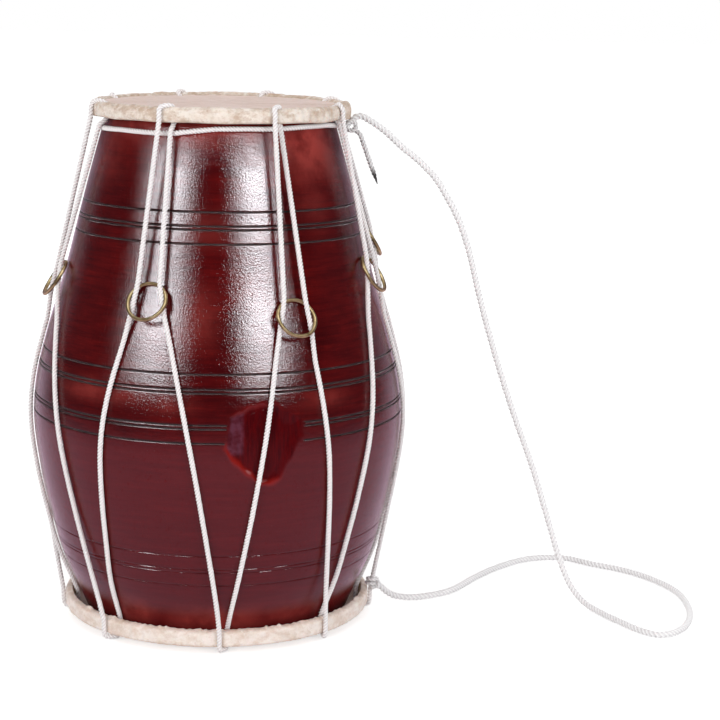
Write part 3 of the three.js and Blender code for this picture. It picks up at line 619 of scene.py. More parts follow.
def hide(name, light, dark, tan, crease_scale):
    """Dry rawhide: mottled, with stains and painted shade lines where the mesh asks for them, and
    fine creases.
    """
    n = Nodes(name)
    mottled = n.noise(1, 5, 0.7, stretch=(80, 80, 130))
    fibres = n.noise(1, 4, 0.6, stretch=(260, 260, 150))
    color = n.ramp(mottled, [(0.36, dark), (0.56, light)])
    color = n.tinted(color, tuple(0.8 * c for c in dark), fibres, [(0.52, 0.0), (0.8, 0.28)])
    # The mesh's stain value holds real stains and painted shade lines, both mixed to the tan
    stain_and_shade_share = n.times(n.value("stain"), n.ramp(n.noise(170, 5, 0.65), [(0.36, 0.1), (0.6, 1.0)]))
    color = n.mix(stain_and_shade_share, color, tan)
    color = n.tinted(color, tan, n.noise(210, 4, 0.7), [(0.57, 0.0), (0.76, 0.6)])
    color = n.tinted(color, (0.98, 0.94, 0.91), n.noise(520, 3, 0.7), [(0.58, 0.0), (0.72, 0.5)])
    normal = n.bump(n.noise(crease_scale, 4, 0.6), 0.4, 0.0016)
    normal = n.bump(fibres, 0.25, 0.0005, normal)
    normal = n.bump(n.noise(900, 2, 0.6), 0.2, 0.0003, normal)
    return n.surface(
        Base_Color=color, Roughness=0.6, Specular_IOR_Level=0.3, Normal=normal,
        Subsurface_Weight=0.12, Subsurface_Radius=(0.004, 0.002, 0.0012), Subsurface_Scale=1.0,
    )


def cotton(name, light, painted_valley_shade, dirt, pitch, tip=None):
    """Twisted cotton with its lay, its yarns, painted shade in the lay's valleys and between the
    yarns, and a little dirt.
    """
    n = Nodes(name)
    lay = n.node("SeparateXYZ", {"Vector": n.node("UVMap", uv_map="lay").outputs["UV"]})
    along, round_ = lay.outputs["X"], lay.outputs["Y"]
    lobe = n.maths("COSINE", n.times(round_, TAU * LOBES))
    yarn_turn = n.times(n.plus(round_, n.times(along, 1 / (pitch * MM))), TAU)
    yarn_place = n.node("CombineXYZ", {
        "X": n.times(n.maths("COSINE", yarn_turn), 4.0),
        "Y": n.times(n.maths("SINE", yarn_turn), 4.0),
        "Z": n.times(along, 420.0),
    }).outputs["Vector"]
    yarns = n.noise(1.6, 4, 0.65, vector=yarn_place)
    fuzz = n.noise(2600, 2, 0.6)
    # Painted shade: darker colour in the valleys of the lay and between the yarns
    color = n.mix(n.ramp(lobe, [(0.0, 1.0), (0.22, 0.0)]), light, painted_valley_shade)
    color = n.tinted(color, painted_valley_shade, yarns, [(0.35, 0.3), (0.55, 0.0)])
    color = n.tinted(color, dirt, n.noise(26, 4, 0.6), [(0.55, 0.0), (0.82, 0.5)])
    if tip:
        start, end, dark = tip
        share = n.maths("DIVIDE", n.maths("SUBTRACT", along, start), end - start, clamp=True)
        frayed = n.times(n.maths("SUBTRACT", fuzz, 0.5), 0.3)
        share = n.maths("ADD", share, frayed, clamp=True)
        color = n.mix(share, color, dark)
    normal = n.bump(yarns, 0.4, 0.0004)
    normal = n.bump(fuzz, 0.4, 0.0002, normal)
    return n.surface(
        Base_Color=color, Roughness=0.85, Specular_IOR_Level=0.2, Normal=normal,
        Sheen_Weight=0.3, Sheen_Roughness=0.4, Sheen_Tint=(1, 0.98, 0.98),
    )


def brass():
    """Aged brass wire, dull olive with rubbed, paler places."""
    n = Nodes("aged_brass")
    stain = n.noise(150, 5, 0.65)
    color = n.ramp(stain, [(0.3, (0.23, 0.165, 0.07)), (0.5, (0.43, 0.33, 0.165)),
                           (0.7, (0.58, 0.47, 0.27))])
    color = n.tinted(color, (0.11, 0.08, 0.035), n.noise(420, 4, 0.7), [(0.56, 0.0), (0.78, 0.6)])
    rough = n.ramp(n.noise(260, 4, 0.6), [(0.3, 0.3), (0.75, 0.5)])
    normal = n.bump(n.noise(700, 3, 0.6), 0.25, 0.0003)
    return n.surface(Base_Color=color, Metallic=1.0, Roughness=rough, Normal=normal)


def cane():
    n = Nodes("hoop_cane")
    fibre = n.noise(1, 4, 0.6, stretch=(60, 60, 900))
    color = n.ramp(fibre, [(0.3, (0.36, 0.23, 0.11)), (0.7, (0.62, 0.45, 0.26))])
    return n.surface(Base_Color=color, Roughness=0.6, Normal=n.bump(fibre, 0.5, 0.0006))


def paste():
    n = Nodes("tuning_paste")
    lumps = n.noise(60, 5, 0.6)
    color = n.ramp(lumps, [(0.3, (0.012, 0.009, 0.007)), (0.7, (0.045, 0.032, 0.024))])
    return n.surface(Base_Color=color, Roughness=0.8, Normal=n.bump(lumps, 0.6, 0.0015))


LACING_PITCH = 1.95 * ROPE_DIAMETER
STRAP_PITCH = 1.95 * STRAP_DIAMETER
LACQUER = lacquer()
GROOVE_DIRT_AND_SHADE = groove_shade()
BARE_WOOD = bare_wood()
TREBLE_HIDE = hide("treble_hide", (0.90, 0.80, 0.72), (0.60, 0.455, 0.36), (0.46, 0.30, 0.19), 120)
HEAD_HIDE = hide("treble_head", (0.90, 0.72, 0.65), (0.82, 0.64, 0.56), (0.65, 0.47, 0.37), 60)
# The bass skin's cream is made lighter as painted light from the floor's bounce
BASS_HIDE_WITH_PAINTED_BOUNCE = hide("bass_hide", (0.95, 0.845, 0.78), (0.79, 0.64, 0.55), (0.58, 0.42, 0.30), 150)
# Cotton colours: its light tone, painted shade for the lay's valleys, and dirt
LACING_COTTON = cotton("lacing_cotton", (0.97, 0.955, 0.95), (0.80, 0.75, 0.76), (0.92, 0.86, 0.82),
                       LACING_PITCH)
STRAP_COTTON = cotton("strap_cotton", (0.97, 0.965, 0.965), (0.84, 0.82, 0.83), (0.93, 0.91, 0.90),
                      STRAP_PITCH)
BRASS = brass()
CANE = cane()
PASTE = paste()


# Camera at the photograph's place, which looks slightly down on the drum
CAMERA_PLACE = (0.1337, -1.7244, 0.5681)
CAMERA_PITCH = 10.665
CAMERA_ROLL = 1.177
CAMERA_LENS = 92.5


def set_camera():
    pitch, roll = math.radians(CAMERA_PITCH), math.radians(CAMERA_ROLL)
    right0 = Vector((1, 0, 0))
    up0 = Vector((0, math.sin(pitch), math.cos(pitch)))
    forward = Vector((0, math.cos(pitch), -math.sin(pitch)))
    right = right0 * math.cos(roll) + up0 * math.sin(roll)
    up = up0 * math.cos(roll) - right0 * math.sin(roll)
    data = bpy.data.cameras.new("camera")
    data.lens = CAMERA_LENS
    data.sensor_width = 36
    camera = add_object("camera", data)
    turn = Matrix((right, up, -forward)).transposed().to_4x4()
    camera.matrix_world = Matrix.Translation(CAMERA_PLACE) @ turn
    bpy.context.scene.camera = camera


set_camera()


# Light: a white surround, soft lamps, and tall soft boxes that only the gloss shows
SURROUND_LIGHT = 0.66


def set_world():
    n = Nodes("surround", world=True)
    strength = n.node("MapRange", {"Value": n.seen(), "To Min": SURROUND_LIGHT, "To Max": 1.0})
    background = n.node("Background", {"Color": (1, 1, 1), "Strength": strength.outputs[0]})
    bpy.context.scene.world = n.out(background)


def area_light(name, place, target, size, power, color=(1, 1, 1)):
    data = bpy.data.lights.new(name, "AREA")
    data.shape = "RECTANGLE"
    data.size, data.size_y = size
    data.energy = power
    data.color = color
    lamp = add_object(name, data)
    lamp.location = place
    direction = Vector(target) - Vector(place)
    lamp.rotation_euler = direction.to_track_quat("-Z", "Y").to_euler()
    lamp.visible_glossy = False


def on_sphere(azimuth, elevation, distance, height=0.3):
    a, e = math.radians(azimuth), math.radians(elevation)
    return (distance * math.cos(e) * math.cos(a), distance * math.cos(e) * math.sin(a),
            height + distance * math.sin(e))


def glossy_only(name, points, columns, strength, color, feather=None):
    """A stage surface from a grid of points in metres that glows, and that only gloss sees."""
    grid = np.arange(len(points)).reshape(-1, columns)
    quads = np.stack([grid[:-1, :-1], grid[:-1, 1:], grid[1:, 1:], grid[1:, :-1]], -1)
    mesh = bpy.data.meshes.new(name)
    mesh.from_pydata(points, [], quads.reshape(-1, 4).tolist())
    n = Nodes(name)
    if feather is not None:
        add_values(mesh, "feather", feather)
        strength = n.times(n.value("feather"), strength)
    mesh.materials.append(n.out(n.node("Emission", {"Color": color, "Strength": strength})))
    made = add_object(name, mesh)
    for kind in ("camera", "diffuse", "shadow", "transmission", "volume_scatter"):
        setattr(made, "visible_" + kind, False)
    return made


CARD_STEPS = 24
UPPER_EDGE = 0.2


def gloss_card(name, azimuths, elevations, strength, edges=(0.2, 0.2, 0.2), distance=3.9):
    """A tall soft box for the gloss of some pieces alone. Edges are the shares of it over which
    it fades at its first, last and lower side."""
    points, feather = [], []
    for i in range(CARD_STEPS + 1):
        for j in range(CARD_STEPS + 1):
            s, t = i / CARD_STEPS, j / CARD_STEPS
            points.append(on_sphere(azimuths[0] + (azimuths[1] - azimuths[0]) * t,
                                    elevations[0] + (elevations[1] - elevations[0]) * s, distance))
            feather.append(float(smooth_step(t / edges[0]) * smooth_step((1 - t) / edges[1])
                                 * smooth_step(s / edges[2]) * smooth_step((1 - s) / UPPER_EDGE)))
    card = glossy_only(name, points, CARD_STEPS + 1, strength, (0.95, 0.955, 1.0), feather)
    receivers = bpy.data.collections.new(name + "_receivers")
    card.light_linking.receiver_collection = receivers
    return receivers


ROOM_REACH = 5.2
ROOM_ELEVATIONS = (78, 60, 42, 24, 10, 0)
ROOM_FRONT_EDGE = [(ROOM_REACH, 0.05), (3.0, 0.004), (1.3, 0.003)]


def dark_room():
    """The unlit room in front of the drum, seen only in its gloss, down to the white floor's
    front edge."""
    azimuths = np.linspace(-213, 35, 49)
    dome = [on_sphere(0, elevation, ROOM_REACH) for elevation in ROOM_ELEVATIONS]
    points = []
    for reach, height in [(x, z) for x, _, z in dome] + ROOM_FRONT_EDGE:
        for a in np.radians(azimuths):
            points.append((reach * math.cos(a), reach * math.sin(a), height))
    glossy_only("dark_room", points, len(azimuths), 0.08, (0.95, 0.88, 1.0))
    azimuths = np.linspace(35, 147, 25)
    points = [on_sphere(a, e, 5.1, 0.0) for e in ROOM_ELEVATIONS for a in azimuths]
    glossy_only("pale_wall", points, len(azimuths), 1.0, (0.46, 0.35, 0.43))


FLOOR_REACH = 40
FLOOR_Z = -0.0004


def set_floor():
    mesh = bpy.data.meshes.new("floor")
    corners = [(x * FLOOR_REACH, y * FLOOR_REACH, 0)
               for x, y in ((-1, -1), (1, -1), (1, 1), (-1, 1))]
    mesh.from_pydata(corners, [], [(0, 1, 2, 3)])
    floor = add_object("floor", mesh)
    floor.location.z = FLOOR_Z
    n = Nodes("pale_floor")
    paper = n.node("BsdfDiffuse", {"Color": (0.8, 0.8, 0.8)})
    glow = n.node("Emission", {"Color": (1, 1, 1), "Strength": n.times(n.seen(), 0.55)})
    both = n.node("AddShader", {0: paper.outputs[0], 1: glow.outputs[0]})
    mirrored = n.node("Emission", {"Color": (0.95, 0.74, 0.93), "Strength": 1.0})
    either = n.node("MixShader", {0: n.ray("Glossy"), 1: both.outputs[0], 2: mirrored.outputs[0]})
    mesh.materials.append(n.out(either))


set_world()
set_floor()
area_light("key", (-1.5, -2.4, 1.0), (0, 0, 0.22), (1.3, 1.3), 27, (1, 0.985, 0.975))
area_light("fill", (2.1, -2.0, 0.8), (0, 0, 0.22), (1.5, 1.5), 21, (0.985, 0.985, 1))
area_light("overhead", (0.2, 0.3, 2.7), (0, 0, 0.3), (1.8, 1.8), 6)
area_light("behind", (-0.6, 2.6, 1.6), (0, 0, 0.3), (1.6, 1.2), 12)
dark_room()
GLOSS = [
    gloss_card("left_box", (-159, -112), (15.5, 50), 54, (0.6, 0.18, 0.06)),
    gloss_card("right_box", (-69.5, -36), (17, 50), 68, (0.15, 0.3, 0.1)),
    gloss_card("rear_left_box", (112, 142), (16, 46), 12),
    gloss_card("rear_right_box", (42, 68), (16, 46), 12),
]
RING_GLOSS = gloss_card("ring_box", (-170, -10), (10, 80), 3.2, distance=4.4)
bpy.context.scene.view_settings.view_transform = "Standard"

# Outline of the planed-off knot, as angles and heights, and the middle it is measured from
SCAR = [
    (-82.8, 223.2), (-75.9, 232.5), (-72.3, 235.1), (-68, 233.6), (-60.4, 219.9), (-59.9, 204.9),
    (-66.8, 166.9), (-70.9, 159.5), (-74.9, 165.8), (-79.2, 176.4), (-84.3, 194.6),
]
SCAR_ANGLE = -72
SCAR_Z = 200
SCAR_RADIUS = float(shell_radius(203))

# Lighter, warmer places in the shell's colour: painted light at the foot and in the band under the
# upper roll, lighter stain elsewhere. Each has an angle, its half width, a height, its half width
# and a strength
LIGHTER_STAIN_AND_PAINTED_LIGHT = [
    (-42, 30, 458, 60, 0.95), (-92, 40, 466, 24, 0.85), (-130, 40, 468, 22, 0.7),
    (90, 120, 470, 24, 0.7), (-92, 11, 305, 40, 0.32), (-45, 14, 400, 40, 0.22),
    (-125, 26, 238, 16, 0.4), (-100, 12, 232, 14, 0.25), (-52, 14, 234, 14, 0.3),
    (-90, 16, 380, 26, 0.22), (-86, 30, 20, 30, 0.8), (-120, 18, 26, 26, 0.6),
    (-55, 26, 24, 24, 0.45), (60, 60, 440, 50, 0.5), (150, 60, 30, 30, 0.6), (40, 50, 26, 30, 0.6),
    (130, 40, 300, 60, 0.3), (0, 30, 300, 60, 0.25), (-150, 30, 440, 40, 0.3),
    (100, 50, 120, 60, 0.25),
]

# Steps of the shell's mesh: angles and heights, finer at the planed knot, rows at each groove
# and bearings round each rim
SHELL_ANGLES = np.concatenate([np.arange(-54, 268, 0.9), np.arange(268, 306, 0.3)])
PLAIN_STEP = 2.6
KNOT_HEIGHTS = np.arange(154, 243, 1.1)
GROOVE_ROWS = (-1.5, -1.05, -0.78, -0.4, 0, 0.4, 0.78, 1.05, 1.5)
RIM_BEARINGS = (30, 60, 90)
BORE_ROWS = 60


def groove_heights():
    """Heights of the turned grooves with the band that each is in."""
    heights = []
    for name in ("upper", "lower"):
        centre, half = BANDS[name]
        for z in (centre - half, centre - PAIR_HALF_GAP, centre + PAIR_HALF_GAP, centre + half):
            heights.append((z, name))
    centre, half = BANDS["middle"]
    for side in (-1, 1):
        pair = centre + side * MIDDLE_PAIR_OFFSET
        heights += [(z, "middle") for z in (centre + side * half, pair - PAIR_HALF_GAP,
                                            pair + PAIR_HALF_GAP)]
    return sorted(heights)


def scar_place(angles, heights):
    """Distance inside the knot's outline in millimetres, negative outside it, and the place
    across it and up it from its middle."""
    scale = math.radians(1) * SCAR_RADIUS
    across = angle_apart(angles, SCAR_ANGLE) * scale
    up = heights - SCAR_Z
    depth = np.full(np.broadcast(across, up).shape, 1e3)
    corners = [((a - SCAR_ANGLE) * scale, z - SCAR_Z) for a, z in SCAR]
    for (x0, y0), (x1, y1) in zip(corners, corners[1:] + corners[:1]):
        length = math.hypot(x1 - x0, y1 - y0)
        depth = np.minimum(depth, ((across - x0) * (y1 - y0) - (up - y0) * (x1 - x0)) / length)
    return depth, across + 0 * depth, up + 0 * depth


def outer_heights(grooves):
    """Heights of the outer rows, closer together at the planed knot and at the grooves."""
    plain = np.arange(SHELL_FOOT_Z + RIM_ROUND, SHELL_TOP_Z - RIM_ROUND, PLAIN_STEP)
    heights = set(np.round(plain, 3)) | set(np.round(KNOT_HEIGHTS, 3))
    for z, _ in grooves:
        heights = {h for h in heights if abs(h - z) > GROOVE_ROWS[-1]}
    for z, _ in grooves:
        heights |= {round(z + d, 3) for d in GROOVE_ROWS}
    return np.array(sorted(heights))[:, None]


def plane_knot(radius, turn, heights):
    """The radii with the planed-off knot in them, the strengths of its looks (its plain wood, a
    painted highlight along its edges and a painted sheen on its left facet), and 1 off the knot and
    0 on it."""
    inside, across, up = scar_place(angle_apart(SHELL_ANGLES, 0)[None, :], heights)
    inside = inside + 0.9 * wavy(waves(51, 8, 30, 110, 0.12), turn, heights)
    wall = 5 + 9 * smooth_step((across + 6) / 30)
    streaks = wavy(waves(50, 9, 90, 240, 0.03), turn, heights)
    hollow = 2.0 + 0.14 * streaks * smooth_step((inside - 5) / 6)
    # The knot's raised left facet, which also carries a painted sheen
    sheen_painted_facet = smooth_step(-(across + 17) / 5) * smooth_step((inside - 1) / 3)
    radius = radius - smooth_step(inside / wall) * hollow
    radius = radius + sheen_painted_facet * 0.9 * smooth_step(-(across + 13) / 18)
    # Painted highlight along the knot's lower-left edge and, weaker, along its upper-left edge
    painted_edge_highlight = 0.8 * hump(inside - 1.5, 4.2) * smooth_step((24 - across) / 20)
    painted_edge_highlight = painted_edge_highlight * (smooth_step((4 - up) / 12) + 0.45 * smooth_step((up - 20) / 8))
    looks = {
        "scar": 0.9 * smooth_step(inside / 4),
        "painted_edge_highlight": painted_edge_highlight * smooth_step((26 - across) / 16),
        "sheen_painted_facet": 0.55 * sheen_painted_facet * smooth_step((up + 14) / 8),
    }
    return radius, looks, 1 - smooth_step((inside + 3) / 4)


def turn_grooves(radius, turn, heights, grooves, away):
    """The radii with uneven grooves in them, the dark colour beside these, which is dirt and
    painted shade, and the rows whose bottom is dark. The lower band's grooves are shallower and
    less darkened."""
    stain = np.zeros(radius.shape)
    dark = np.zeros(len(heights), bool)
    for i, (z, band) in enumerate(grooves):
        d = heights - z
        depth, strength = (0.55, 0.3) if band == "lower" else (GROOVE_DEPTH, 0.85)
        uneven = 1 + 0.25 * wavy(waves(20 + i, 10, 3, 40), turn)
        radius = radius - depth * np.clip(1 - np.abs(d) / 0.9, 0, 1) * uneven * away
        patchy = np.clip(0.75 + 0.25 * wavy(waves(120 + i, 12, 5, 60), turn), 0.3, 1)
        # Dark colour beside each groove: dirt and painted shade in the recess
        stain = np.maximum(stain, strength * hump(d, 2.5) * away * patchy)
        if band != "lower":
            dark |= np.abs(d[:, 0]) < 0.79
    return radius, stain, dark


def level(z, angles):
    """Heights on the shell, whose upper end follows its uneven rim."""
    return z + head_shift(angles)[None, :] * smooth_step((z - 430) / 50)


def rim_rows(end_z, inward, turn, rim_z):
    """Rows of a rounded rim from the outside to the end, with inward -1 at the top."""
    rows = []
    for bearing in RIM_BEARINGS:
        b = math.radians(bearing)
        r = shell_radius(end_z + inward * RIM_ROUND) - RIM_ROUND * (1 - math.cos(b))
        z = rim_z + inward * RIM_ROUND * (1 - math.sin(b))
        rows.append(turned_rows(r + 0 * turn, z, turn))
    return rows


def bore_rows(turn, rim_z):
    """Rows down the bare inside, from the upper end to the lower one."""
    radii = [float(shell_radius(SHELL_FOOT_Z + share * SHELL_HEIGHT)) - SHELL_WALL
             for share in BORE_SHARES]
    rows = [turned_rows(radii[0] + 2 + 0 * turn, rim_z, turn)]
    for z in np.linspace(SHELL_TOP_Z - 2, SHELL_FOOT_Z + 2, BORE_ROWS):
        straight = np.interp((z - SHELL_FOOT_Z) / SHELL_HEIGHT, BORE_SHARES[::-1], radii[::-1])
        r = min(straight, float(shell_radius(z)) - SHELL_WALL)
        r = r + 0.3 * wavy(waves(9, 6, 3, 20, 0.1), turn, z)
        rows.append(turned_rows(r, level(z, SHELL_ANGLES), turn))
    rows.append(turned_rows(radii[-1] + 2 + 0 * turn, SHELL_FOOT_Z, turn))
    return rows


def barrel():
    turn = np.radians(SHELL_ANGLES)[None, :]
    columns = len(SHELL_ANGLES)
    grooves = groove_heights()
    outer_z = outer_heights(grooves)
    radius = shell_radius(outer_z) + 0 * turn
    radius = radius + 0.10 * wavy(waves(3, 9, 2, 14, 0.03), turn, outer_z)
    radius, values, away = plane_knot(radius, turn, outer_z)
    radius, values["groove"], dark = turn_grooves(radius, turn, outer_z, grooves, away)
    # Painted light at the foot and under the upper roll, and lighter stain elsewhere
    values["lighter_stain_and_painted_light"] = np.zeros(radius.shape)
    bearings = angle_apart(SHELL_ANGLES, 0)[None, :]
    for angle, half_angle, z, half_z, strength in LIGHTER_STAIN_AND_PAINTED_LIGHT:
        lighter_stain_and_painted_light = strength * hump(angle_apart(bearings, angle), half_angle) * hump(outer_z - z, half_z)
        values["lighter_stain_and_painted_light"] = np.maximum(values["lighter_stain_and_painted_light"], lighter_stain_and_painted_light)
    rim_z = SHELL_TOP_Z + head_shift(SHELL_ANGLES)[None, :]
    rows = [turned_rows(radius, level(outer_z, SHELL_ANGLES), turn)]
    rows += rim_rows(SHELL_TOP_Z, -1, turn, rim_z) + bore_rows(turn, rim_z)
    rows += rim_rows(SHELL_FOOT_Z, 1, turn, SHELL_FOOT_Z)[::-1]
    points = np.concatenate([row.reshape(-1, columns, 3) for row in rows])
    count = len(outer_z)
    spare = np.zeros((len(points) - count, columns))
    row_of = np.repeat(np.arange(len(points)), columns)
    dark = np.concatenate([dark, np.zeros(len(spare), bool)])
    in_groove = dark[row_of] & dark[(row_of + 1) % len(points)]
    in_groove &= np.concatenate([away, spare]).ravel() > 0.5
    rim = len(RIM_BEARINGS)
    bare = (row_of >= count + rim) & (row_of < len(points) - rim - 1)
    fields = {name: np.concatenate([field + 0 * radius, spare]) for name, field in values.items()}
    shell = mesh_piece("shell", points.reshape(-1, 3),
                       grid_quads(len(points), columns, close_rows=True), LACQUER,
                       zones=[(GROOVE_DIRT_AND_SHADE, in_groove), (BARE_WOOD, bare)], values=fields)
    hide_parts("barrel_shell")
    for receivers in GLOSS:
        receivers.objects.link(shell)


barrel()


# Skins, as closed sheets with their folds
def profile_steps(corners, step, cut=1.6):
    """Points along a profile of corners with each corner rounded, at even steps."""
    line = rounded([np.array([r, 0, z]) for r, z in corners], cut, 4)
    line, _ = even_steps(line, step)
    return line[:, 0], line[:, 2]


INNER_FLAT_RADIUS = 60


def head_profile(corners, step, count):
    """A skin's outer profile, from the middle of its flat head to its edge."""
    r, z = profile_steps(corners, step)
    flat = np.linspace(0, corners[0][0], count)[:-1]
    return np.concatenate([flat, r]), np.concatenate([np.full(len(flat), float(corners[0][1])), z])


def inner_profile(corners):
    """A skin's inner profile, from its edge back to the middle of its flat head."""
    r, z = profile_steps(corners, 2.0)
    return np.concatenate([r, [INNER_FLAT_RADIUS, 0]]), np.concatenate([z, [corners[-1][1]] * 2])


def skin_rows(outer, inner, turn):
    """Radii and heights of a skin's rows by its columns, and which rows are outer ones."""
    r = np.concatenate([outer[0], inner[0]])[:, None] + 0 * turn
    z = np.concatenate([outer[1], inner[1]])[:, None] + 0 * turn
    return r, z, (np.arange(len(r)) < len(outer[0]))[:, None]


def skin_piece(name, radii, heights, angles, material, node, stain, flat=None):
    """A closed skin from rows of radii and heights, with a pole at its first and last row."""
    turn = np.radians(angles)[None, :]
    rows = turned_rows(radii[1:-1], heights[1:-1], turn).reshape(-1, 3)
    first = np.array([[0, 0, float(heights[0].mean())]])
    last = np.array([[0, 0, float(heights[-1].mean())]])
    points = np.concatenate([rows, first, last])
    count, columns = len(radii) - 2, len(angles)
    quads = grid_quads(count, columns)
    tops = [(len(rows), (i + 1) % columns, i) for i in range(columns)]
    base = (count - 1) * columns
    tails = [(len(rows) + 1, base + i, base + (i + 1) % columns) for i in range(columns)]
    values = {"stain": np.concatenate([stain[1:-1].ravel(), [0, 0]])}
    zones = []
    if flat is not None:
        other, rows_flat = flat
        chosen = np.repeat(np.arange(count - 1) < rows_flat, columns)
        zones = [(other, np.concatenate([chosen, np.ones(columns, bool)]))]
    piece = mesh_piece(name, points, quads, material, caps=tops + tails, zones=zones, values=values)
    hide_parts(node)


# Puckers along the crest of the treble skin's roll: angle and size
PUCKERS = ((-117, 1.0), (-58, 0.8), (-100, 0.5), (-140, 0.7), (60, 0.8), (130, 0.8))


def top_skin():
    c = HOOP_CHAMFER
    inner, outer = TOP_HOOP_INNER, TOP_LAP_RADIUS
    lip, foot = outer - SKIN, TOP_LAP_FOOT_Z
    crease = float(shell_radius(SHELL_TOP_Z)) + ROPE_DIAMETER
    over = head_profile([
        (crease - SKIN, TOP_SKIN_Z), (inner - 0.6, TOP_LAP_Z - 1.3), (inner + 2.2, TOP_LAP_Z),
        (outer - 3.2, TOP_LAP_Z - 0.1), (outer - 0.5, TOP_LAP_Z - 2.6),
        (outer + 0.2, TOP_LAP_Z - 6), (outer, foot + 3.4), (outer - 1.4, foot + 0.5),
        (inner + c, foot),
    ], 0.7, 34)
    under = inner_profile([
        (inner + c, foot + SKIN), (lip - c, foot + SKIN), (lip, foot + SKIN + c),
        (lip, TOP_LAP_Z - SKIN - c), (lip - c, TOP_LAP_Z - SKIN),
        (inner + c / 2, TOP_LAP_Z - SKIN), (crease, TOP_SKIN_UNDER_Z),
        (INNER_FLAT_RADIUS, TOP_SKIN_UNDER_Z),
    ])
    angles = np.arange(0, 360, 0.6)
    bearings = angles[None, :]
    turn = np.radians(angles)[None, :]
    r, z, is_over = skin_rows(over, under, turn)
    flat_z = np.where(is_over, TOP_SKIN_Z, TOP_SKIN_UNDER_Z)
    on_roll = smooth_step((r - crease + 1) / 3.5)
    height = np.clip((z - foot) / (TOP_LAP_Z - foot), 0, 1)
    tilt = on_roll * rim_shift(angles)[None, :] * (0.4 + 0.6 * smooth_step(height))
    tilt = tilt + (1 - on_roll) * (0.7 + 1.2 * np.sin(turn) * np.clip(r / crease, 0, 1))
    face = np.clip((r - inner) / 6, 0, 1) * is_over
    rolls = wavy(waves(71, 12, 9, 40, 0.05), turn, z)
    pleats = wavy(waves(72, 10, 60, 130, 0.02), turn, z)
    pleated = 0.25 + 0.75 * hump(angle_apart(bearings, -34), 34)
    corner = hump(angle_apart(bearings, -4), 13)
    r = r + face * (0.3 * rolls + 0.3 * pleated * pleats + 0.5 * corner * pleats + 0.9 * corner)
    crest = hump(r - (inner + 4), 10) * is_over * (z > TOP_SKIN_Z + 1)
    z = z + crest * (0.3 * wavy(waves(73, 10, 7, 40), turn) + 0.15 * pleats + 2.2 * corner)
    low = hump(z - (foot + 1), 6) * face
    z = z + low * 0.45 * wavy(waves(74, 9, 5, 28), turn)
    crease_line = hump(r - (crease + 1.2), 3) * is_over * (z < TOP_LAP_Z - 1)
    z = z - crease_line * (0.35 + 0.3 * wavy(waves(75, 12, 12, 70), turn))
    for pucker, size in PUCKERS:
        near = hump(arc_apart(bearings, pucker, outer), 4)
        z = z - size * near * crest
        r = r - 0.5 * size * near * face * smooth_step(height * 2 - 1)
    stain = 0.16 + 0.12 * wavy(waves(76, 9, 3, 22, 0.15), turn, z)
    stain = stain + 0.6 * corner + 0.45 * hump(angle_apart(bearings, -168), 16)
    # Stain along the lap face's lower edge, and a painted shade line in the crease between head and
    # roll
    stain = stain + 0.35 * hump(height - 0.02, 0.16) * face + 0.75 * crease_line
    # Painted shade line along the ridge over the hoop's inner edge, in the gap in front of the head
    edge_line = hump(r - (inner - 0.4), 1.6) * is_over * (z > TOP_SKIN_Z + 1)
    stain = stain + edge_line * (0.55 + 0.45 * hump(angle_apart(bearings, -140), 40))
    for hitch in TOP_HITCHES:
        right = hitch + TOP_HITCH_HALF
        under_rope = np.interp(r, [TOP_SLOT_RADIUS, inner + 2, outer - 4, outer - 1],
                               [right, right, hitch, hitch - TOP_HITCH_HALF])
        beside = arc_apart(bearings, under_rope, r)
        dent = hump(beside, 6)
        r = r - 1.7 * dent * face * (z < TOP_LAP_Z - 1)
        z = z - 2.4 * dent * crest
        hole = np.hypot(arc_apart(bearings, right, TOP_SLOT_RADIUS), r - TOP_SLOT_RADIUS - 0.7)
        hollow = hump(hole, 5.5) * is_over * (z > TOP_SKIN_UNDER_Z)
        z = z - 1.6 * hollow
        # Darker in the hollow where the rope goes through the skin and beside the rope
        dirt = np.maximum(0.8 * hollow, 0.35 * hump(np.abs(beside) - 3.4, 2.4) * face)
        stain = np.maximum(stain, dirt)
    sag = -0.25 * np.clip(1 - (r / crease) ** 2, 0, 1) * (z == flat_z)
    z = z + sag + tilt
    flat_rows = int((over[0] < crease - 0.5).sum()) - 1
    skin_piece("treble_skin", r, z, angles, TREBLE_HIDE, "top_head_skin",
               np.clip(stain, 0, 1), (HEAD_HIDE, flat_rows))


# Tufts and curls along the trimmed edge of the bass skin: angle, half width and height
TUFTS = [
    (-107, 1.2, 1.6), (-104.6, 0.9, 1.1), (-91.7, 0.8, 1.3), (-67.3, 0.9, 1.9), (-62.3, 1.1, 1.2),
    (-142.5, 3.0, 2.2), (-17.5, 2.4, 2.4), (-128, 2.2, 1.4), (-31, 1.0, 0.8), (-77.5, 0.9, 0.9),
    (20, 1.4, 1.6), (63, 2.2, 1.2), (88, 1.0, 2.0), (121, 1.6, 1.4), (150, 1.2, 1.7),
    (172, 2.0, 1.3),
]


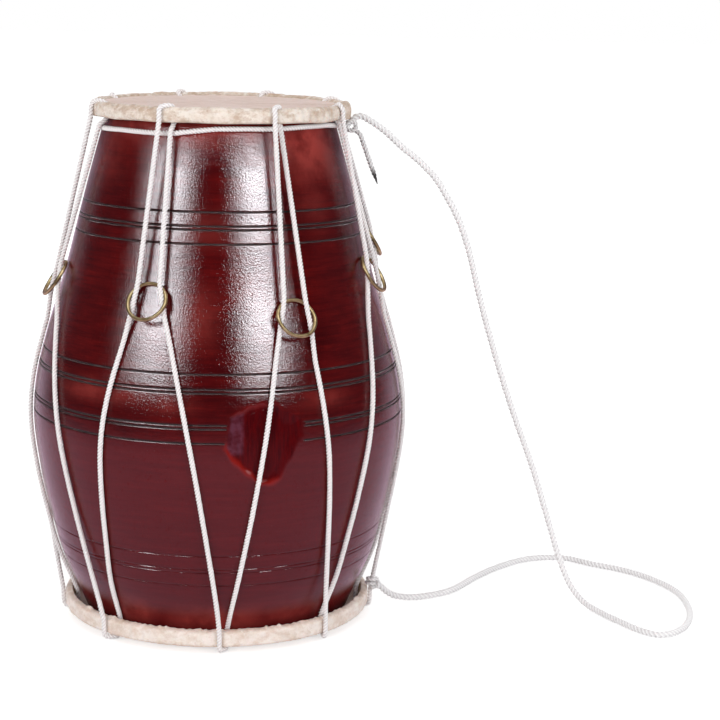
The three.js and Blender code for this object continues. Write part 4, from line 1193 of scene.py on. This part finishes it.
def bottom_skin():
    c = HOOP_CHAMFER
    inner, outer = BOTTOM_HOOP_INNER, BOTTOM_LAP_RADIUS
    lip = outer - SKIN
    foot, top = BOTTOM_LAP_FOOT_Z, BOTTOM_LAP_Z
    crease = float(shell_radius(SHELL_FOOT_Z)) + ROPE_RADIUS
    outside = head_profile([
        (crease, 0), (inner + c / 2, foot), (outer - c, foot), (outer, foot + c),
        (outer, top - c), (outer - c, top), (inner + c, top),
    ], 0.75, 26)
    inside = inner_profile([
        (inner + c, top - SKIN), (lip - c, top - SKIN), (lip, top - SKIN - c),
        (lip, foot + SKIN + c), (lip - c, foot + SKIN), (inner, foot + SKIN),
        (crease - SKIN, SKIN),
    ])
    angles = np.arange(0, 360, 0.45)
    bearings = angles[None, :]
    turn = np.radians(angles)[None, :]
    r, z, outward = skin_rows(outside, inside, turn)
    face = np.clip((r - inner) / 6, 0, 1) * outward * np.clip(z / 5, 0, 1)
    r = r + face * (0.32 * wavy(waves(81, 12, 9, 44, 0.05), turn, z)
                    + 0.2 * wavy(waves(82, 10, 60, 150, 0.03), turn, z))
    edge = hump(r - (inner + 2), 5) * (z > top - 3)
    ragged = 0.5 * wavy(waves(83, 14, 20, 60), turn) + 0.5 * wavy(waves(84, 14, 60, 190), turn)
    z = z + edge * (0.5 + 0.8 * ragged)
    stain = 0.12 + 0.14 * wavy(waves(85, 9, 3, 26, 0.15), turn, z)
    stain = stain + 0.35 * hump(z - foot - 0.5, 3) * face + 0.3 * hump(z - top, 2.2) * outward
    for angle, half, rise in TUFTS:
        near = hump(angle_apart(bearings, angle), half) * hump(r - (inner + 2.5), 4) * (z > top - 3)
        z = z + rise * near
        r = r + 0.8 * near
    for hitch in BOTTOM_HITCHES:
        beside = arc_apart(bearings, hitch - BOTTOM_HITCH_HALF, outer)
        r = r - 0.8 * hump(beside, 5.5) * face
        stain = np.maximum(stain, 0.3 * hump(np.abs(beside) - 3.2, 2.2) * face)
    z = np.maximum(np.where(outward & (r < crease), 0.0, z), 0.0)
    stain = np.clip(stain + 0 * r, 0, 1)
    skin_piece("bass_skin", r[::-1], z[::-1], angles, BASS_HIDE_WITH_PAINTED_BOUNCE, "bottom_head_skin",
               stain[::-1])


top_skin()
bottom_skin()


# Hoops of split cane bent round, with the cane's joints and the ends lapped over each other
CANE_JOINTS = (14, 81, 152, 219, 287)
CANE_LAP = 100


def hoop(name, node, inner, foot, height, seed, shift=None):
    outer, top = inner + HOOP_THICKNESS, foot + height
    c = HOOP_CHAMFER
    corners = [(inner, foot + c), (inner + c, foot), (outer - c, foot), (outer, foot + c),
               (outer, top - c), (outer - c, top), (inner + c, top), (inner, top - c),
               (inner, foot + c)]
    r, z = profile_steps(corners, 1.3, 1.2)
    r, z = r[:-1, None], z[:-1, None]
    angles = np.arange(0, 360, 1.2)
    turn = np.radians(angles)[None, :]
    within = r < (inner + outer) / 2
    joints = sum(hump(angle_apart(angles, joint), 1.8) for joint in CANE_JOINTS)[None, :]
    from_lap = angle_apart(angles, CANE_LAP)[None, :]
    lapped = smooth_step(from_lap / 3 + 0.5) * hump(from_lap, 26)
    uneven = wavy(waves(seed, 6, 3, 20, 0.2), turn, z)
    r = r - within * (0.45 * joints + 0.8 * lapped + 0.15 * uneven)
    z = z - 0.12 * joints * np.sign(z - (foot + top) / 2)
    if shift is not None:
        z = z + shift(angles)[None, :] * (0.4 + 0.6 * smooth_step((z - foot) / height))
    rows = turned_rows(r, z, turn)
    quads = grid_quads(len(rows), len(angles), close_rows=True, flip=True)
    piece = mesh_piece(name, rows.reshape(-1, 3), quads, CANE)
    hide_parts(node)


hoop("upper_cane_hoop", "top_hoop", TOP_HOOP_INNER, TOP_HOOP_FOOT_Z, TOP_HOOP_HEIGHT, 91, rim_shift)
hoop("lower_cane_hoop", "bottom_hoop", BOTTOM_HOOP_INNER, BOTTOM_HOOP_FOOT_Z,
     BOTTOM_HOOP_HEIGHT, 92)

# Rings and strands: the CAD's places, with the strands drawn as the photograph shows them
RING_REST = RING_WIRE_RADIUS + 2 * FIT_GAP
STRAND_REST = ROPE_RADIUS + FIT_GAP + STRAND_LIFT


def crossing_reach(spread):
    return math.sqrt(RING_RADIUS ** 2 - spread ** 2)


RING_TILT = math.asin((STRAND_REST + RING_CROSSING - RING_REST)
                      / (RING_RADIUS + crossing_reach(RING_SEAT_SPREAD)))
RING_STANDOFF = RING_REST + RING_RADIUS * math.sin(RING_TILT)


def ring_frame(k):
    """Columns across, up and out of a ring, and its middle."""
    angle, z = RING_ANGLES[k], RING_HEIGHTS[k]
    lean = shell_lean(z)
    out = polar(math.cos(lean), angle, -math.sin(lean))
    up = polar(math.sin(lean), angle, math.cos(lean))
    centre = polar(float(shell_radius(z)), angle, z) + out * RING_STANDOFF
    across = np.cross(up, out)
    c, s = math.cos(-RING_TILT), math.sin(-RING_TILT)
    tilted = np.array([[1, 0, 0], [0, c, -s], [0, s, c]])
    return np.stack([across, up, out], 1) @ tilted, centre


def ring_crossing(k, side, upper):
    spread = RING_TOP_SPREAD if upper else (RIGHT_SPREADS if side > 0 else LEFT_SPREADS)[k]
    way = 1 if upper else -1
    basis, centre = ring_frame(k)
    place = np.array([side * spread, way * crossing_reach(spread), way * RING_CROSSING])
    return basis @ place + centre


def taut_run():
    slope, meeting = 0, BOTTOM_LAP_Z
    for z in np.arange(BOTTOM_LAP_Z + 1.5, BANDS["middle"][0], 1.5):
        reach = (rope_on_shell(z, ROPE_LIFT) - BOTTOM_FACE_RADIUS) / (z - BOTTOM_LAP_Z)
        if reach > slope:
            slope, meeting = reach, z
    return slope, meeting


TAUT_SLOPE, TAUT_MEETING = taut_run()
FALL_STEPS = 22


def fall(k, side):
    """Points of a strand from behind its ring down to the lower hoop."""
    outside = side > 0
    hitch = BOTTOM_HITCHES[k if outside else (k - 1) % len(TOP_HITCHES)]
    end_angle = hitch - side * BOTTOM_HITCH_HALF
    start = ring_crossing(k, side, False)
    start_angle = math.degrees(math.atan2(start[1], start[0]))
    turn = angle_apart(end_angle, start_angle)
    power, swing = (RIGHT_TURNS if outside else LEFT_TURNS)[k]
    points = [start]
    for share in np.arange(2, FALL_STEPS) / FALL_STEPS:
        z = start[2] + share * (BOTTOM_LAP_Z - start[2])
        angle = start_angle + turn * (1 - (1 - share) ** power) + swing * math.sin(TAU * share)
        taut = BOTTOM_FACE_RADIUS + TAUT_SLOPE * (z - BOTTOM_LAP_Z)
        radius = taut if outside and z < TAUT_MEETING else rope_on_shell(z, ROPE_LIFT)
        points.append(polar(radius, angle, z))
    return points


def top_hitch(k):
    """Points over the upper roll, through the skin and out again below, over the girth rope."""
    middle = TOP_HITCHES[k]
    left, right = middle - TOP_HITCH_HALF, middle + TOP_HITCH_HALF
    shift = float(rim_shift(middle))
    over = TOP_LAP_Z + shift + 0.2
    face = TOP_LAP_RADIUS + 1.5
    level = girth_z(right)
    points = [
        polar(face, left, TOP_LAP_FOOT_Z + 0.5),
        polar(face, left, over - 4.4),
        polar(face - 1.9, left, over - 0.9),
        polar(TOP_LAP_RADIUS - 4, middle, over + 0.5),
        polar(TOP_HOOP_INNER + 1.8, right, over),
        polar(TOP_SLOT_RADIUS + 0.7, right, TOP_HOOP_TOP_Z + shift - 1),
        polar(TOP_SLOT_RADIUS, right, TOP_HOOP_TOP_Z + shift - 4),
        polar(TOP_SLOT_RADIUS, right, level + 8.5),
    ]
    girth = rope_on_shell(level, GIRTH_LIFT)
    reach = ROPE_DIAMETER + 0.2
    for bearing in (78, 42, 5):
        b = math.radians(bearing)
        points.append(polar(girth + reach * math.cos(b), right, level + reach * math.sin(b)))
    return points


def bottom_hitch(k):
    left, right = BOTTOM_HITCHES[k] - BOTTOM_HITCH_HALF, BOTTOM_HITCHES[k] + BOTTOM_HITCH_HALF
    c = HOOP_CHAMFER
    return [
        polar(BOTTOM_FACE_RADIUS - 0.4, left, BOTTOM_LAP_Z - c),
        polar(BOTTOM_FACE_RADIUS - 0.4, left, BOTTOM_LAP_FOOT_Z + c),
        polar(BOTTOM_FACE_RADIUS - c, left, BOTTOM_UNDER_Z + c / 4),
        polar(BOTTOM_LAP_RADIUS - 2 * c, BOTTOM_HITCHES[k], BOTTOM_UNDER_Z),
        polar(BOTTOM_HOOP_INNER, right, BOTTOM_UNDER_Z),
        polar(BOTTOM_SLOT_RADIUS, right, BOTTOM_LAP_FOOT_Z),
        polar(BOTTOM_SLOT_RADIUS, right, BOTTOM_HOOP_FOOT_Z + c),
        polar(BOTTOM_SLOT_RADIUS, right, BOTTOM_HOOP_TOP_Z),
    ]


# Heights where the lacing is cut into pieces: the hitches above and below ride the drum, the
# stretches through the rings ride the rings, and the stretches between them ride no body
ROPE_STEP = 0.95
UPPER_CUT_Z = 455
LOWER_CUT_Z = 236
RING_CUT = 7
BLEND_INSET = 3


def lacing():
    count = len(TOP_HITCHES)
    order = [(LACING_START + step) % count for step in range(count)]
    points = []
    for k in order:
        following = (k + 1) % count
        points += top_hitch(k) + [ring_crossing(k, 1, True)] + fall(k, 1)
        points += bottom_hitch(k) + fall(following, -1)[::-1] + [ring_crossing(following, -1, True)]
    points.append(points[0])
    rope = Rope(rounded(points, 5), ROPE_DIAMETER, LACING_PITCH, ROPE_STEP, 11)
    z = rope.points[:, 2]
    upper = [ring_crossing(k, 1, True)[2] + RING_CUT for k in range(count)]
    lower = [ring_crossing(k, 1, False)[2] - RING_CUT for k in range(count)]

    def falls_below(height, start):
        return start + int(np.argmax(z[start:] <= height))

    def rises_above(height, start):
        return start + int(np.argmax(z[start:] >= height))

    tops, bottoms = [], []
    pairs = [{"upper": [], "ring": [], "lower": []} for _ in range(count)]
    here = 0
    for k in order:
        following = (k + 1) % count
        crest = here + int(np.argmax(z[here:here + 60]))
        a = falls_below(UPPER_CUT_Z, crest)
        b = falls_below(upper[k], a)
        c = falls_below(lower[k], b)
        d = falls_below(LOWER_CUT_Z, c)
        e = rises_above(LOWER_CUT_Z, falls_below(4, d))
        f = rises_above(lower[following], e)
        g = rises_above(upper[following], f)
        h = rises_above(UPPER_CUT_Z, g)
        tops.append((here, a))
        bottoms.append((d, e))
        for pair, part, stretch in ((k, "upper", (a, b)), (k, "ring", (b, c)), (k, "lower", (c, d)),
                                    (following, "lower", (e, f)), (following, "ring", (f, g)),
                                    (following, "upper", (g, h))):
            pairs[pair][part].append(stretch)
        here = h
    tops.append((here, len(z) - 1))

    def cut(name, stretches, body="drum"):
        return rope_piece(name, [(rope, *stretch) for stretch in stretches], LACING_COTTON, body)

    hitches = cut("lacing_top_hitches", tops)
    pieces = [hitches, cut("lacing_lower_falls", bottoms)]
    for k in range(count):
        body = f"ring_{k + 1}"
        pieces.append(cut(f"lacing_ring_{k + 1}", pairs[k]["ring"], body))
        for part in ("upper", "lower"):
            piece = cut(f"lacing_{part}_{k + 1}", pairs[k][part], None)
            ends = sorted((rope.points[i] for r in pairs[k][part] for i in r), key=lambda p: p[2])
            low, high = (ends[0] + ends[1]) / 2, (ends[2] + ends[3]) / 2
            low, high = low + unit(high - low) * BLEND_INSET, high - unit(high - low) * BLEND_INSET
            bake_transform(piece)
            pieces.append(piece)
    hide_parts("lacing_rope")


lacing()


# Girth rope below the upper hoop
def girth_rope():
    radius = rope_on_shell(GIRTH_Z, GIRTH_LIFT)
    half = math.degrees((STRAP_KNOT_LENGTH / 2 - 1) / radius)
    points = []
    for angle in np.linspace(STRAP_KNOT_ANGLE + half, STRAP_KNOT_ANGLE + 360 - half, 91):
        z = girth_z(angle)
        points.append(polar(rope_on_shell(z, GIRTH_LIFT), angle, z))
    rope = Rope(flowing(points, 4), ROPE_DIAMETER, LACING_PITCH, ROPE_STEP, 12)
    piece = whole_rope("girth_rope", rope, LACING_COTTON)
    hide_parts("top_girth_rope")


girth_rope()


# Knot that joins the lacing's ends, behind the drum
def coil(start, end, radius, turns, lead=0.0):
    """Points of a coil along the line between two points."""
    start, end = np.asarray(start, float), np.asarray(end, float)
    axis = unit(end - start)
    first = unit(np.cross(axis, [0.3, 0.1, 0.95]))
    second = np.cross(axis, first)
    steps = int(turns * 16)
    points = []
    for i in range(steps + 1):
        turn = TAU * turns * i / steps + lead
        points.append(start + (end - start) * i / steps
                      + radius * (first * math.cos(turn) + second * math.sin(turn)))
    return points


def lacing_knot():
    top = polar(TOP_LAP_RADIUS + 1.5, TOP_HITCHES[LACING_START] - TOP_HITCH_HALF,
                TOP_LAP_FOOT_Z - 1.5)
    low = ring_crossing(LACING_START, -1, True)
    down = unit(low - top)
    points = coil(top + down * 1.5, top + down * 11.5, 3.3, 2.4)
    tail = points[-1] + np.array([3.5, 4.5, -4])
    points = points + [tail, tail + np.array([2, 1, -9])]
    rope = Rope(flowing(points, 6), 4.0, LACING_PITCH, 1.0, 13)
    piece = whole_rope("lacing_end_knot", rope, LACING_COTTON)
    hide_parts("lacing_knot")


lacing_knot()


# Tuning rings of brass wire, a little thinner at the place where the wire's ends meet
WIRE_STEPS = 96
WIRE_SIDES = 18


def tuning_ring(k):
    basis, centre = ring_frame(k)
    around = np.arange(WIRE_STEPS) / WIRE_STEPS * TAU
    wire = np.arange(WIRE_SIDES) / WIRE_SIDES * TAU
    radius = RING_RADIUS + 0.16 * wavy(waves(200 + k, 5, 2, 6), around)
    thick = RING_WIRE_RADIUS * (1 + 0.03 * wavy(waves(300 + k, 6, 3, 12), around))
    seam = hump(angle_apart(np.degrees(around), 40 + 75 * k), 3.8)
    thick = thick * (1 - 0.16 * seam)
    lift = 0.12 * wavy(waves(400 + k, 3, 1, 3), around)
    r = radius[:, None] + thick[:, None] * np.cos(wire)[None, :]
    local = np.stack([r * np.cos(around)[:, None], r * np.sin(around)[:, None],
                      thick[:, None] * np.sin(wire)[None, :] + lift[:, None]], -1).reshape(-1, 3)
    quads = grid_quads(WIRE_STEPS, WIRE_SIDES, close_rows=True, flip=True)
    points = local @ basis.T + centre
    piece = mesh_piece(f"ring_wire_{k + 1}", points, quads, BRASS, f"ring_{k + 1}")
    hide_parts(f"tuning_ring_{k + 1}")
    RING_GLOSS.objects.link(piece)


for ring in range(len(RING_ANGLES)):
    tuning_ring(ring)


# Carrying strap and its knots
def upper_knot_place():
    reach = float(shell_radius(GIRTH_Z - STRAP_KNOT_RADIUS)) + STRAP_KNOT_RADIUS + FIT_GAP
    return polar(reach, STRAP_KNOT_ANGLE, GIRTH_Z)


def knotted_strand():
    below = bottom_hitch(STRAP_HITCH)[0]
    rise = unit(fall(STRAP_HITCH, 1)[-1] - below)
    z = BOTTOM_LAP_Z + LOWER_KNOT_RADIUS + 2 * FIT_GAP
    return below + rise * (z - below[2]) / rise[2], rise


def lower_knot_place():
    aside = ROPE_RADIUS + 2.5 * FIT_GAP + LOWER_KNOT_RADIUS
    return knotted_strand()[0] + polar(aside, BOTTOM_HITCHES[STRAP_HITCH] + 90, 0)


STRAP_START = [120.8, 6.2, 468]
STRAP_STEP = 1.3
KNOT_STEP = 1.1


def strap():
    route = [np.array(p, float) for p in STRAP_ROUTE]
    upper, lower = upper_knot_place(), lower_knot_place()
    start = np.array(STRAP_START)
    end = lower + unit(route[-1] - lower) * (LOWER_KNOT_RADIUS + STRAP_RADIUS)
    rope = Rope(flowing([start, *route, end]), STRAP_DIAMETER, STRAP_PITCH, STRAP_STEP, 14)
    cord = whole_rope("strap", rope, STRAP_COTTON)
    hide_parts("strap_cord")

    # Upper knot: the strap's end goes in behind the strands, nearly twice round and out as a tail
    tail = [np.array(p, float) for p in TAIL_ROUTE]
    middle = upper + np.array([5.5, 0, 1.5])
    along_girth = polar(1, STRAP_KNOT_ANGLE + 90, 0)
    turns = coil(middle - along_girth * 4, middle + along_girth * 4, 4.3, 1.7, 2.4)
    lead = [start + unit(route[0] - start), start + unit(upper - start) * 3]
    knot_line = flowing([*lead, *turns, *tail], 6)
    length = step_lengths(knot_line).sum()
    thickness = ([0, 6, length - 60, length - 20, length - 10, length],
                 [1, 0.76, 0.72, 0.8, 0.66, 0.12])
    knot_rope = Rope(knot_line, STRAP_DIAMETER, STRAP_PITCH * 0.85, KNOT_STEP, 15, thickness)
    tip = ((length - 18) * MM, (length - 9) * MM, (0.06, 0.055, 0.055))
    # The tail's cotton: its light tone, painted shade for the lay's valleys, dirt and its dark tip
    tip_cotton = cotton("strap_cotton_tail", (0.95, 0.945, 0.945), (0.72, 0.70, 0.71),
                        (0.86, 0.83, 0.81), STRAP_PITCH, tip)
    top_knot = whole_rope("strap_upper_knot", knot_rope, tip_cotton)
    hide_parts("strap_top_knot")

    # Lower knot: a slim hitch round the outside strand, its end tucked down the hoop's face
    place, rise = knotted_strand()
    stub = [end + unit(route[-1] - end), end + unit(lower - end) * 3.5]
    ring = coil(place - rise * 4.5, place + rise * 5, ROPE_RADIUS + 1.9, 2.2, 2.6)
    tuck = [ring[-1] + np.array([1.5, -3.5, -3]), ring[-1] + np.array([1, -6, -9])]
    low_line = flowing([*stub, *ring, *tuck], 6)
    low_length = step_lengths(low_line).sum()
    low_rope = Rope(low_line, STRAP_DIAMETER, STRAP_PITCH * 0.7, KNOT_STEP, 16,
                    ([0, 4, 12, low_length - 5, low_length], [1, 0.85, 0.6, 0.58, 0.4]))
    low_knot = whole_rope("strap_lower_knot", low_rope, STRAP_COTTON)
    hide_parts("strap_bottom_knot")


strap()

paste_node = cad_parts["bass_tuning_paste"]
paste_node.data.materials.clear()
paste_node.data.materials.append(PASTE)
